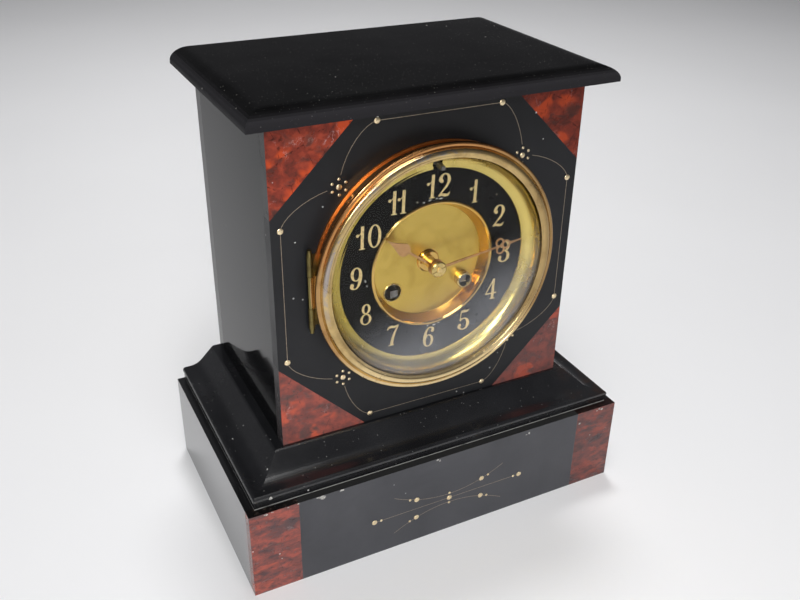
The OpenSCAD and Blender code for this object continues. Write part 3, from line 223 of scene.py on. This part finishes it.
def plinth_slate():
    """Very glossy slate of the base's sides, which mirrors the floor; its left face is painted lighter, a
    painted reflection of the bright floor.
    """
    s, tone = slate("slate_plinth", 0.06, 2.4, (0.06, 0.061, 0.065), (0.085, 0.086, 0.092))
    facing_right, _, _ = s.facing()
    # Painted reflection: faces that look left keep the lighter tone, all others turn near black.
    tone = s.mix(s.fit(facing_right, -0.9, -0.6), tone, (0.006, 0.006, 0.0065))
    s.set("Base Color", dust(s, tone, 0.004, 1100.0))
    wiping_marks(s, 0.06, 0.04)
    faint_swell(s)
    return s.material


def moulding_slate():
    """Satin slate of the mouldings, with a pale line along the joint at the foot."""
    s, tone = slate("slate_moulding", 0.24, 1.7, (0.006, 0.0062, 0.0072), (0.012, 0.0124, 0.014))
    tone = dust(s, dust(s, tone, 0.03, 900.0, (0.2, 0.2, 0.19)), 0.008, 420.0)
    x, _, z = s.split()
    rust = s.times(s.fit(x, 0.08, 0.1), s.fit(s.noise(60, 5, 0.7), 0.45, 0.65))
    tone = s.mix(s.times(rust, 0.6), tone, (0.03, 0.014, 0.008))
    foot = s.times(s.fit(z, *FOOT_LINE), s.fit(s.noise(90, 4, 0.7), 0.32, 0.5, 0.35, 1.0))
    s.set("Base Color", s.mix(foot, tone, (0.3, 0.3, 0.29)))
    s.set("Roughness", s.fit(s.noise(20, 4, 0.6), 0.35, 0.75, 0.2, 0.3))
    s.bump(s.noise(300, 3), 0.00002, 0.4)
    return s.material


def slab_slate():
    """The top slab: near black with dust specks above, with a soft painted sheen on its rounded edge,
    which is also rougher.
    """
    s, tone = slate("slate_top", 0.12, 1.08, (0.0022, 0.0022, 0.0023), (0.006, 0.006, 0.0062))
    drift = s.fit(s.noise(9, 3, 0.6), 0.35, 0.65, 0.01, 0.08)
    tone = dust(s, tone, drift, 1700.0, (0.13, 0.125, 0.12))
    tone = dust(s, tone, 0.01, 900.0, (0.16, 0.155, 0.14))
    _, _, facing_up = s.facing()
    edge = s.fit(facing_up, 0.97, 0.6)
    # Painted sheen: the rounded edge is painted lighter than the flat top.
    tone = s.mix(s.times(edge, 0.5), tone, (0.035, 0.034, 0.038))
    s.set("Base Color", dust(s, tone, 0.003, 420.0, (0.4, 0.385, 0.36)))
    s.set("Roughness", s.fit(edge, 0, 1, 0.12, 0.36))
    faint_swell(s)
    return s.material


def satin_slate(name, low, high, rough, specular):
    """Satin slate of the fronts: finely grained, with painted shade high up under the top slab, and
    near-black ledges.
    """
    s = Shader(name, rough=rough, IOR=1.52, Specular_IOR_Level=specular)
    cloud = s.noise(28, 6, 0.65, 0.5)
    tone = s.ramp(cloud, (0.3, low), (0.72, high))
    fine = s.noise(1400, 2, 0.6)
    tone = s.mix(s.fit(fine, 0.5, 0.8, 0, 0.35), tone, high)
    _, _, facing_up = s.facing()
    _, _, z = s.split()
    ledge = s.fit(facing_up, 0.6, 0.9)
    shade = s.fit(z, 0.2, 0.245, 0, 0.55)
    # Painted shade: darker towards the top, under the top slab's overhang; ledges that face up are near
    # black as well.
    tone = s.mix(s.math("MAXIMUM", ledge, shade), tone, (0.002, 0.002, 0.002))
    s.set("Base Color", dust(s, tone, 0.006, 420.0, (0.3, 0.3, 0.3)))
    satin = s.fit(cloud, 0.3, 0.7, rough, rough + 0.09)
    s.set("Roughness", s.math("MAXIMUM", satin, s.times(ledge, 0.95)))
    s.bump(s.noise(900, 3, 0.6), 0.00004, 0.6)
    return s.material


def red_marble(name, banded):
    """Red marble: orange-red clots in brown-red, dark grey clouds, hair cracks and pale veins."""
    s = Shader(name, rough=0.2)
    if banded:
        s.set("IOR", 1.46)
        place = s.stretch(0.8, 0.8, 1.9, (0.0, -0.2, 0.0))
        mottle = s.ramp(s.noise(150, 6, 0.7, 0.3, place), (0.36, (0.085, 0.042, 0.044)),
                        (0.5, (0.2, 0.06, 0.05)), (0.62, (0.33, 0.075, 0.055)))
        cloud = s.noise(70, 5, 0.66, 0.5, place)
        clot = s.noise(95, 3, 0.6, 0.2, place)
        bright, grey, dark = (0.4, 0.085, 0.055), (0.062, 0.046, 0.05), (0.03, 0.014, 0.014)
        grey_fade = (0.5, 0.64, 0, 0.8)
        crack_scale = 120
    else:
        s.set("IOR", 1.22)
        place = s.stretch(1.0, 1.0, 1.15, (0.0, 0.35, 0.0))
        mottle = s.ramp(s.noise(170, 5, 0.62, 0.3, place), (0.34, (0.1, 0.026, 0.019)),
                        (0.5, (0.2, 0.035, 0.022)), (0.64, (0.3, 0.052, 0.028)))
        cloud = s.noise(70, 4, 0.6, 0.4, place)
        clot = s.noise(75, 2, 0.5, 0.3, place)
        bright, grey, dark = (0.56, 0.075, 0.022), (0.05, 0.028, 0.024), (0.02, 0.006, 0.005)
        grey_fade = (0.53, 0.68, 0, 0.75)
        crack_scale = 85
    body = s.mix(s.fit(cloud, *grey_fade), mottle, grey)
    body = s.mix(s.fit(clot, 0.56, 0.68, 0, 0.85), body, bright)
    deep = s.noise(55, 4, 0.7, 0.8, place)
    body = s.mix(s.fit(deep, 0.42, 0.3, 0, 0.5), body, dark)
    crack = s.cells(crack_scale, "DISTANCE_TO_EDGE", s.stretch(1, 1, 0.7, (0.2, 0.5, 0.1)))
    ragged = s.fit(s.noise(420, 3), 0.3, 0.7, 0, 0.05)
    edge = s.fit(s.math("ADD", crack.outputs["Distance"], ragged), 0.035, 0.012)
    body = s.mix(s.times(edge, 0.6), body, dark)
    vein = s.noise(38, 6, 0.7, 2.2, s.stretch(1, 1, 0.8, (0.0, 0.9, 0.0)))
    thread = s.fit(s.math("ABSOLUTE", s.math("SUBTRACT", vein, 0.5)), 0.009, 0.002)
    patchy = s.fit(s.noise(70, 2), 0.58, 0.68)
    body = s.mix(s.times(thread, patchy, 0.7), body, (0.42, 0.3, 0.29))
    facing_right, _, facing_up = s.facing()
    # Faces that look up turn dark, mottled brown-black.
    upward_tone = s.mix(s.fit(s.noise(220, 5, 0.7), 0.5, 0.72), (0.004, 0.003, 0.003), (0.05, 0.035, 0.028))
    body = s.mix(s.fit(facing_up, 0.6, 0.9), body, upward_tone)
    if not banded:
        slate_side = s.fit(s.math("ABSOLUTE", facing_right), 0.6, 0.9)
        body = s.mix(slate_side, body, (0.006, 0.006, 0.006))
    x, _, z = s.split()
    # Painted shade: darker towards the right, where the light falls off.
    body = s.mix(s.fit(x, -0.04, 0.06, 0, 0.4), body, (0.02, 0.008, 0.007))
    # Painted sheen: the lower part of the corners is paler pinkish grey.
    if not banded:
        body = s.mix(s.fit(z, 0.16, 0.1, 0, 0.14), body, (0.3, 0.26, 0.27))
    s.set("Base Color", dust(s, body, 0.004, 420.0, (0.7, 0.62, 0.6)))
    s.set("Roughness", s.fit(cloud, 0.3, 0.7, 0.18, 0.3))
    return s.material


def stone_chip():
    s = Shader("stone_chip", rough=0.8)
    s.set("Base Color", s.ramp(s.noise(900, 4), (0.35, (0.2, 0.2, 0.19)), (0.6, (0.52, 0.51, 0.48))))
    s.bump(s.noise(1500, 3), 0.0001, 1.0)
    return s.material


# Metal

def brass(name, bright, dull, rough, scale, spread=0.12, streak=None):
    """Shader of metal with cloudy tarnish; streak adds fine lines that run round the dial."""
    s = Shader(name, metal=1.0)
    cloud = s.noise(scale, 5, 0.62, 0.6)
    tone = s.mix(s.fit(cloud, 0.42, 0.72), bright, dull)
    s.set("Base Color", dust(s, tone, 0.004, 700.0, (0.09, 0.06, 0.03)))
    s.set("Roughness", s.fit(cloud, 0.35, 0.75, rough, rough + spread))
    if streak:
        _, _, ring = s.about_dial()
        lines = s.add("ShaderNodeTexNoise", noise_dimensions="1D")
        s.wire(ring, lines.inputs["W"])
        lines.inputs["Scale"].default_value = streak
        lines.inputs["Detail"].default_value = 2.0
        s.bump(lines.outputs["Fac"], 0.00003, 0.5)
    else:
        s.bump(s.noise(700, 3, 0.6), 0.00002, 0.5)
    return s


def steel(name, color, rough):
    s = Shader(name, color, rough, 1.0)
    s.set("Roughness", s.fit(s.noise(240, 4), 0.3, 0.7, rough, rough + 0.12))
    s.set("Base Color", s.mix(s.fit(s.noise(90, 4), 0.55, 0.8), color, darker(color, 0.6)))
    s.bump(s.noise(1200, 2), 0.00001, 0.5)
    return s.material


def gilding(name, color, rough):
    s = Shader(name, color, rough, 1.0)
    blotches = s.noise(900, 4, 0.6)
    s.set("Base Color", s.mix(s.fit(blotches, 0.5, 0.75), color, darker(color, 0.55)))
    s.set("Roughness", s.fit(blotches, 0.3, 0.7, rough, rough + 0.2))
    s.bump(blotches, 0.00003, 0.6)
    return s.material


def upper_left(shader, corner, height, fade):
    """Full at the dial's upper left and none elsewhere; corner is the height less the sideways place."""
    return shader.times(shader.fit(corner, 0.0, fade), shader.fit(height, 0.012, 0.02))


def bezel_brass():
    """Polished brass with a coppery rolled rim; painted reflections make the outer wall coppery and the
    lip grey in patches at the upper left, painted light makes the lower part paler and painted shade the
    right darker.
    """
    s = brass("bezel_brass", (0.62, 0.45, 0.2), (0.36, 0.24, 0.1), 0.16, 55.0, 0.16, 5200.0)
    x, height, ring = s.about_dial()
    corner = s.math("SUBTRACT", height, x)
    # Painted reflection: coppery colour on the outer wall at the upper left.
    copper = s.times(upper_left(s, corner, height, 0.06), s.fit(ring, *WALL_IN))
    roll = s.times(s.fit(ring, *ROLL_IN, 0, 0.6), s.fit(ring, *ROLL_OUT))
    tone = s.mix(roll, s.base_so_far(), (0.4, 0.19, 0.07))
    tone = s.mix(s.fit(ring, *KNUCKLE_IN), tone, (0.2, 0.16, 0.06))
    # Painted shade: darker towards the right.
    tone = s.mix(s.fit(x, 0.02, 0.06, 0, 0.55), tone, (0.3, 0.2, 0.09))
    # Painted reflection: the lower part is painted paler, as if mirroring the bright floor.
    tone = s.mix(s.fit(height, -0.03, -0.055, 0, 0.8), tone, (0.92, 0.72, 0.4))
    tone = s.mix(s.times(copper, 0.7), tone, (0.58, 0.26, 0.09))
    # Painted reflection: grey patches on the lip at the upper left, where the glass's bevel shows grey.
    blotches = s.fit(s.noise(120, 5, 0.7, 0.8), 0.44, 0.6)
    on_lip = s.times(s.fit(ring, *LIP_OUT), s.fit(ring, *LIP_IN))
    band = s.times(blotches, s.fit(corner, 0.03, 0.075), on_lip)
    s.set("Base Color", s.mix(s.times(band, 0.85), tone, (0.36, 0.33, 0.33)))
    return s.material


def sight_brass():
    """Yellow brass of the sight ring, duller and more olive on the left with painted shade."""
    s = brass("sight_brass", (0.66, 0.52, 0.16), (0.48, 0.37, 0.1), 0.2, 50.0, 0.12, 4300.0)
    x, _, _ = s.split()
    # Painted shade: darker and more olive on the left.
    s.set("Base Color", s.mix(s.fit(x, -0.015, -0.045, 0, 0.75), s.base_so_far(), (0.36, 0.27, 0.055)))
    return s.material


def old_brass():
    """Dark brass of the front ring and its hinge, with a coppery painted reflection where the flange
    shows at the upper left.
    """
    s = brass("rim_brass", (0.2, 0.16, 0.06), (0.1, 0.075, 0.035), 0.34, 160.0)
    x, height, ring = s.about_dial()
    corner = s.math("SUBTRACT", height, x)
    on_flange = s.times(s.fit(ring, *FLANGE_IN), s.fit(ring, *FLANGE_OUT))
    # Painted reflection: coppery colour on the flange at the upper left.
    copper = s.times(upper_left(s, corner, height, 0.05), on_flange)
    s.set("Base Color", s.mix(s.times(copper, 0.8), s.base_so_far(), (0.6, 0.24, 0.08)))
    return s.material


def dish_gilt():
    """Satin gilt floor with fine pitting; the sloping wall and boss are polished and amber."""
    s = brass("dish_gilt", (0.6, 0.43, 0.105), (0.5, 0.35, 0.08), 0.3, 70.0, 0.08)
    _, _, ring = s.about_dial()
    wall = s.math("MAXIMUM", s.fit(ring, *DISH_WALL), s.fit(ring, *DISH_BOSS))
    s.set("Base Color", s.mix(wall, s.base_so_far(), (0.66, 0.43, 0.13)))
    s.set("Roughness", s.fit(wall, 0, 1, 0.33, 0.12))
    return s.material


# Enamel and glass

def dial_black():
    s = Shader("dial_black", rough=0.1, IOR=1.2)
    cloud = s.noise(40, 4, 0.6)
    tone = s.ramp(cloud, (0.3, (0.002, 0.002, 0.002)), (0.8, (0.006, 0.0055, 0.005)))
    s.set("Base Color", dust(s, tone, 0.008, 500.0, (0.3, 0.28, 0.22)))
    s.set("Roughness", s.fit(cloud, 0.3, 0.7, 0.07, 0.2))
    return s.material


def glass():
    """Clear glass that lets the lamps' light through to the dial, with a pale film low down that is a
    painted reflection of the bright floor.
    """
    s = Shader("bezel_glass", (1, 1, 1), 0.0, IOR=1.12, Transmission_Weight=1.0)
    s.set("Roughness", s.fit(s.noise(30, 4, 0.6), 0.55, 0.75, 0.0, 0.02))
    clear = s.add("ShaderNodeBsdfTransparent")
    clear.inputs[0].default_value = (0.96, 0.97, 0.96, 1)
    blend = s.add("ShaderNodeMixShader")
    path = s.add("ShaderNodeLightPath")
    lets_through = s.math("MAXIMUM", path.outputs["Is Shadow Ray"], path.outputs["Is Diffuse Ray"])
    s.wire(lets_through, blend.inputs[0])
    s.wire(s.bsdf.outputs[0], blend.inputs[1])
    s.wire(clear.outputs[0], blend.inputs[2])
    # Painted reflection: a pale diffuse film, strongest and uneven low on the glass.
    film = s.add("ShaderNodeBsdfDiffuse")
    film.inputs["Color"].default_value = (0.62, 0.64, 0.7, 1)
    with_painted_reflection = s.add("ShaderNodeMixShader")
    x, _, z = s.split()
    low = s.fit(s.math("SUBTRACT", z, s.times(x, 0.35)), 0.165, 0.115)
    unevenness = s.fit(s.noise(18, 5, 0.6), 0.3, 0.75, 0.75, 1.25)
    s.wire(s.times(low, unevenness, REFLECTION_FILM_SHARE), with_painted_reflection.inputs[0])
    s.wire(blend.outputs[0], with_painted_reflection.inputs[1])
    s.wire(film.outputs[0], with_painted_reflection.inputs[2])
    s.wire(with_painted_reflection.outputs[0], s.out.inputs["Surface"])
    return s.material


SLATE_TOP = slab_slate()
SLATE_SIDE = polished_slate("slate_side", 0.004, 0.06, 0.04, 1.19,
                            (0.0022, 0.0023, 0.0025), (0.005, 0.0051, 0.0053))
SLATE_PLINTH = plinth_slate()
SLATE_MOULD = moulding_slate()
SLATE_BACK = polished_slate("slate_back", 0.006, 0.24, 0.1, 1.6,
                            (0.005, 0.0051, 0.0056), (0.01, 0.0102, 0.011))
SLATE_FACE = satin_slate("slate_face", (0.005, 0.0055, 0.007), (0.011, 0.0115, 0.0135), 0.4, 0.3)
SLATE_BASE = satin_slate("slate_base", (0.03, 0.031, 0.038), (0.052, 0.053, 0.061), 0.42, 0.5)
MARBLE = red_marble("marble_corner", False)
MARBLE_BASE = red_marble("marble_block", True)
GILT_LINE = gilding("gilt_line", (0.36, 0.3, 0.23), 0.4)
GILT_DOT = gilding("gilt_dot", (0.95, 0.78, 0.5), 0.22)
BEZEL = bezel_brass()
SIGHT = sight_brass()
RIM_BRASS = old_brass()
FITTING = brass("fitting_brass", (0.62, 0.47, 0.19), (0.44, 0.31, 0.12), 0.18, 160.0).material
MOVEMENT = brass("movement_brass", (0.8, 0.62, 0.28), (0.62, 0.46, 0.2), 0.28, 90.0).material
COPPER = brass("hand_copper", (0.52, 0.3, 0.14), (0.3, 0.16, 0.07), 0.3, 200.0).material
DISH = dish_gilt()
BLACK = dial_black()
NUMERAL = gilding("numeral_gilt", (0.7, 0.56, 0.28), 0.42)
STEEL = steel("movement_steel", (0.5, 0.51, 0.53), 0.22)
DARK_STEEL = steel("old_steel", (0.2, 0.19, 0.18), 0.35)
BLUED = steel("blued_spring", (0.12, 0.15, 0.28), 0.25)
BELL = steel("bell_metal", (0.72, 0.7, 0.66), 0.14)
GLASS = glass()
CHIP = stone_chip()

FINISHES = {
    SLATE_TOP: ["top_slab"],
    SLATE_SIDE: ["body_side_left", "body_side_right"],
    SLATE_PLINTH: ["plinth_sides"],
    SLATE_MOULD: ["moulding_front", "moulding_sides"],
    SLATE_BACK: ["body_back", "base_back", "base_slab"],
    SLATE_FACE: ["body_front"],
    SLATE_BASE: ["plinth_front"],
    MARBLE: ["marble_corners"],
    MARBLE_BASE: ["plinth_marbles"],
    GILT_LINE: ["gilt_inlay"],
    BEZEL: ["bezel"],
    SIGHT: ["sight_ring"],
    RIM_BRASS: ["front_ring", "bezel_hinge_pin"],
    FITTING: ["winding_grommets", "hand_nut", "rear_knob"],
    MOVEMENT: ["rear_ring", "rear_door", "rear_hinge_pin", "front_plate", "back_plate", "pillars",
               "going_barrel", "strike_barrel", "intermediate_wheel", "centre_wheel", "third_wheel",
               "escape_wheel", "minute_wheel", "hour_wheel", "back_cock", "strike_wheel", "pin_wheel",
               "warning_wheel", "fly", "bell_stand", "pendulum_bob", "suspension_spring"],
    COPPER: ["hour_hand", "minute_hand"],
    DISH: ["dial_centre"],
    BLACK: ["dial_ring"],
    NUMERAL: ["numerals"],
    STEEL: ["case_screws", "pallets", "cannon_pinion", "pendulum_rod", "hammer"],
    DARK_STEEL: ["going_arbor", "strike_arbor", "regulator_arbor"],
    BLUED: ["going_mainspring", "strike_mainspring"],
    BELL: ["bell"],
    GLASS: ["bezel_glass"],
}
for material, names in FINISHES.items():
    for name in names:
        mesh = nodes[name].data
        mesh.materials.clear()
        mesh.materials.append(material)


# Pieces added to the solids

def piece(name, build, material, smooth=True):
    """A new mesh, filled by build(bmesh), that rides on the case."""
    bm = bmesh.new()
    build(bm)
    bmesh.ops.recalc_face_normals(bm, faces=bm.faces[:])
    mesh = bpy.data.meshes.new(name)
    bm.to_mesh(mesh)
    bm.free()
    if smooth:
        mesh.shade_smooth()
    mesh.materials.append(material)
    made = bpy.data.objects.new(name, mesh)
    bpy.context.scene.collection.objects.link(made)
    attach(made, "case")
    return made


def front_point(x, z, face_y):
    """A point on a face that looks to the front, from x and z in mm."""
    return Vector((x * MM, face_y, z * MM))


def bead(bm, centre, radius, height, sides=20, rings=5):
    """A low dome on a face that looks to the front."""
    rows = []
    for ring in range(rings):
        angle = math.pi / 2 * ring / rings
        r, h = radius * math.cos(angle), height * math.sin(angle)
        rows.append([bm.verts.new(centre + Vector((r * math.cos(a), -h, r * math.sin(a))))
                     for a in (2 * math.pi * i / sides for i in range(sides))])
    for low, high in zip(rows, rows[1:]):
        for i in range(sides):
            j = (i + 1) % sides
            bm.faces.new((low[i], low[j], high[j], high[i]))
    tip = bm.verts.new(centre + Vector((0, -height, 0)))
    for i in range(sides):
        bm.faces.new((rows[-1][i], rows[-1][(i + 1) % sides], tip))
    bm.faces.new(rows[0])


# Gilded dots: (x, z, radius) in mm on the body, and the same about the base's pattern
DOT_R, SMALL_DOT_R = 1.6, 0.8
DOT_H, BASE_DOT_H, ROSETTE_H = 0.35 * MM, 0.3 * MM, 0.45 * MM
TOP_SHIFT = 2.7  # the upper pair stands this much to the right
BOTH = (-1, 1)
FACE_DOTS = [(s * 34 + TOP_SHIFT, 241.5, DOT_R) for s in BOTH]
FACE_DOTS += [(s * x, z, DOT_R) for s in BOTH for x, z in ((81, 195), (81, 122.5), (35.5, 77))]
ROSETTES = [(s * 51, z) for s in BOTH for z in (212, 105)]
PETALS, PETAL_RING, ROSETTE_R = 6, 4.0, 1.5
BASE_DOTS = [(0, 0, 1.5)] + [(0, t * 3.5, SMALL_DOT_R) for t in BOTH]
BASE_DOTS += [(s * 47, 0, DOT_R) for s in BOTH] + [(s * 43, 0, SMALL_DOT_R) for s in BOTH]
BASE_DOTS += [(s * 21, t * 6.4, DOT_R) for s in BOTH for t in BOTH]
BASE_DOTS += [(s * 25.2, t * 7.7, SMALL_DOT_R) for s in BOTH for t in BOTH]


def gilt_beads(bm):
    for x, z, r in FACE_DOTS:
        bead(bm, front_point(x, z, SLATE_Y), r * MM, DOT_H)
    for x, z in ROSETTES:
        bead(bm, front_point(x, z, SLATE_Y), ROSETTE_R * MM, ROSETTE_H)
        for i in range(PETALS):
            a = math.radians(360 / PETALS * i + 30)
            petal = front_point(x + PETAL_RING * math.cos(a), z + PETAL_RING * math.sin(a), SLATE_Y)
            bead(bm, petal, SMALL_DOT_R * MM, DOT_H, 16, 4)
    for x, z, r in BASE_DOTS:
        bead(bm, front_point(x + PATTERN_X / MM, z + PATTERN_Z / MM, BASE_Y), r * MM, BASE_DOT_H, 16, 4)


piece("gilt_beads", gilt_beads, GILT_DOT)


def flake(bm, centre, across, up, out, rng):
    """A ragged low chip on a face; across and up are its half sizes as vectors, out its height."""
    count = rng.randint(7, 10)
    rim = []
    for i in range(count):
        a = 2 * math.pi * i / count
        reach = rng.uniform(0.6, 1.15)
        rim.append(bm.verts.new(centre + across * math.cos(a) * reach + up * math.sin(a) * reach))
    top = bm.verts.new(centre + out)
    for i in range(count):
        bm.faces.new((rim[i], rim[(i + 1) % count], top))
    bm.faces.new(rim)


# Chips: (x, y, z, half width, half height) in mm
CASE_CHIP_LIFT, DIAL_CHIP_LIFT = 0.0001, 0.00005  # how far their middles stand out, in metres
CASE_CHIPS = [
    (-75, -69, 52.6, 2.0, 1.2), (-77.5, -69, 53.3, 1.0, 0.6), (-64, -69, 53.3, 1.5, 0.7),
    (-88.3, -69, 53.6, 0.6, 0.4), (-93.8, -69, 53.3, 0.6, 0.5), (-106, -69, 53.1, 1.4, 0.6),
    (-102.6, -69, 53.4, 0.8, 0.4), (-6.6, -69, 53.2, 0.9, 0.7), (-5.2, -69, 52.3, 0.5, 1.0),
    (53.6, -69, 51.6, 0.8, 1.0), (51.8, -69, 51.0, 0.8, 0.4), (90, -69, 46.4, 0.9, 0.6),
    (105.6, -69, 52.4, 1.0, 0.8), (103.6, -69, 52.9, 0.6, 0.9), (102, -69, 52.0, 0.6, 0.4),
    (-99, -69, 20, 0.4, 0.4), (99, -69, 35, 0.4, 0.5), (-101.5, -65, 59.2, 1.1, 0.9),
    (-31, -43, 243.2, 0.5, 0.4), (63, -43, 219, 0.4, 0.4), (45, -43, 94, 0.4, 0.4),
    (-74, -43, 188, 0.5, 0.35),
]
DIAL_CHIPS = [(x, DIAL_Y / MM, z, w, h) for x, z, w, h in (
    (-3, 197.4, 1.1, 0.6), (0.8, 197.6, 0.7, 0.5), (3.2, 197.2, 1.2, 0.45), (-6.5, 196.6, 0.8, 0.4),
    (-38.4, 160, 0.5, 0.9), (-37.6, 157, 0.35, 0.6), (2, 124.6, 1.3, 0.5), (-2, 124.9, 0.6, 0.4),
    (4.6, 125.1, 0.8, 0.4),
)]


def chips(rows, lift, seed):
    """A build function that lays one ragged chip for each row on faces that look to the front."""
    def build(bm):
        rng = random.Random(seed)
        for x, y, z, w, h in rows:
            across, up = Vector((w, 0, 0)) * MM, Vector((0, 0, h)) * MM
            flake(bm, Vector((x, y, z)) * MM, across, up, FRONT * lift, rng)
    return build


piece("case_chips", chips(CASE_CHIPS, CASE_CHIP_LIFT, seed=5), CHIP, smooth=False)
piece("dial_chips", chips(DIAL_CHIPS, DIAL_CHIP_LIFT, seed=8), CHIP, smooth=False)


# Stage, lamps, camera

def pale_floor():
    s = Shader("floor", (0.8, 0.8, 0.81), 0.6)
    s.set("Base Color", s.ramp(s.noise(3.0, 3), (0.3, (0.79, 0.79, 0.8)), (0.7, (0.81, 0.81, 0.82))))
    mesh = bpy.data.meshes.new("floor")
    corners = [(x * FLOOR_HALF, y * FLOOR_HALF, 0) for x, y in ((-1, -1), (1, -1), (1, 1), (-1, 1))]
    mesh.from_pydata(corners, [], [(0, 1, 2, 3)])
    mesh.materials.append(s.material)
    made = bpy.data.objects.new("floor", mesh)
    bpy.context.scene.collection.objects.link(made)


def studio_world():
    """Dim room, brighter near the horizon, so that slate stays dark and brass has something to mirror."""
    world = bpy.data.worlds.new("studio")
    world.use_nodes = True
    tree = world.node_tree
    back = tree.nodes["Background"]
    place = tree.nodes.new("ShaderNodeTexCoord")
    parts = tree.nodes.new("ShaderNodeSeparateXYZ")
    ramp = tree.nodes.new("ShaderNodeValToRGB")
    tree.links.new(place.outputs["Generated"], parts.inputs[0])
    tree.links.new(parts.outputs["Z"], ramp.inputs[0])
    tree.links.new(ramp.outputs[0], back.inputs["Color"])
    low, high = ramp.color_ramp.elements
    low.position, low.color = 0.0, (0.42, 0.42, 0.44, 1)
    high.position, high.color = 0.6, (0.12, 0.12, 0.13, 1)
    back.inputs["Strength"].default_value = 0.5
    bpy.context.scene.world = world


def lamp(name, place, target, size, power, color=(1, 1, 1), spread=180.0):
    light = bpy.data.lights.new(name, "AREA")
    light.shape = "DISK"
    light.size = size
    light.energy = power
    light.spread = math.radians(spread)
    light.color = color
    made = bpy.data.objects.new(name, light)
    made.location = place
    made.rotation_mode = "QUATERNION"
    made.rotation_quaternion = (Vector(target) - Vector(place)).to_track_quat("-Z", "Y")
    bpy.context.scene.collection.objects.link(made)


CAMERA_AT = Vector((-0.204949, -0.408082, 0.373872))
AZIMUTH, ELEVATION, ROLL = math.radians(-27.0989), math.radians(29.3048), math.radians(0.8592)
LENS_MM = 40.832


def camera():
    back = Vector((math.sin(AZIMUTH) * math.cos(ELEVATION), -math.cos(AZIMUTH) * math.cos(ELEVATION),
                   math.sin(ELEVATION)))
    right = (-back).cross(UP).normalized()
    up = right.cross(-back)
    turned_right = right * math.cos(ROLL) + up * math.sin(ROLL)
    turned_up = up * math.cos(ROLL) - right * math.sin(ROLL)
    data = bpy.data.cameras.new("camera")
    data.sensor_width = 36.0
    data.lens = LENS_MM
    data.clip_start, data.clip_end = 0.02, 50.0
    made = bpy.data.objects.new("camera", data)
    made.matrix_world = Matrix.Translation(CAMERA_AT) @ Matrix(
        (turned_right, turned_up, back)).transposed().to_4x4()
    bpy.context.scene.collection.objects.link(made)
    bpy.context.scene.camera = made


pale_floor()
studio_world()
lamp("front", (-0.5, -1.5, 0.6), (0, -0.05, 0.14), 0.5, 2.3, (1.0, 0.985, 0.96), spread=80.0)
lamp("overhead", (-0.25, -0.55, 1.7), (0, 0, 0.13), 0.9, 14.6)
lamp("glint", (-0.32, -0.62, 0.62), (0, -0.05, 0.16), 0.06, 1.6)
lamp("pool", (0.3, 0.75, 2.6), (0.3, 0.7, 0), 0.6, 7.0, spread=75.0)
camera()
bpy.context.scene.view_settings.view_transform = "Standard"
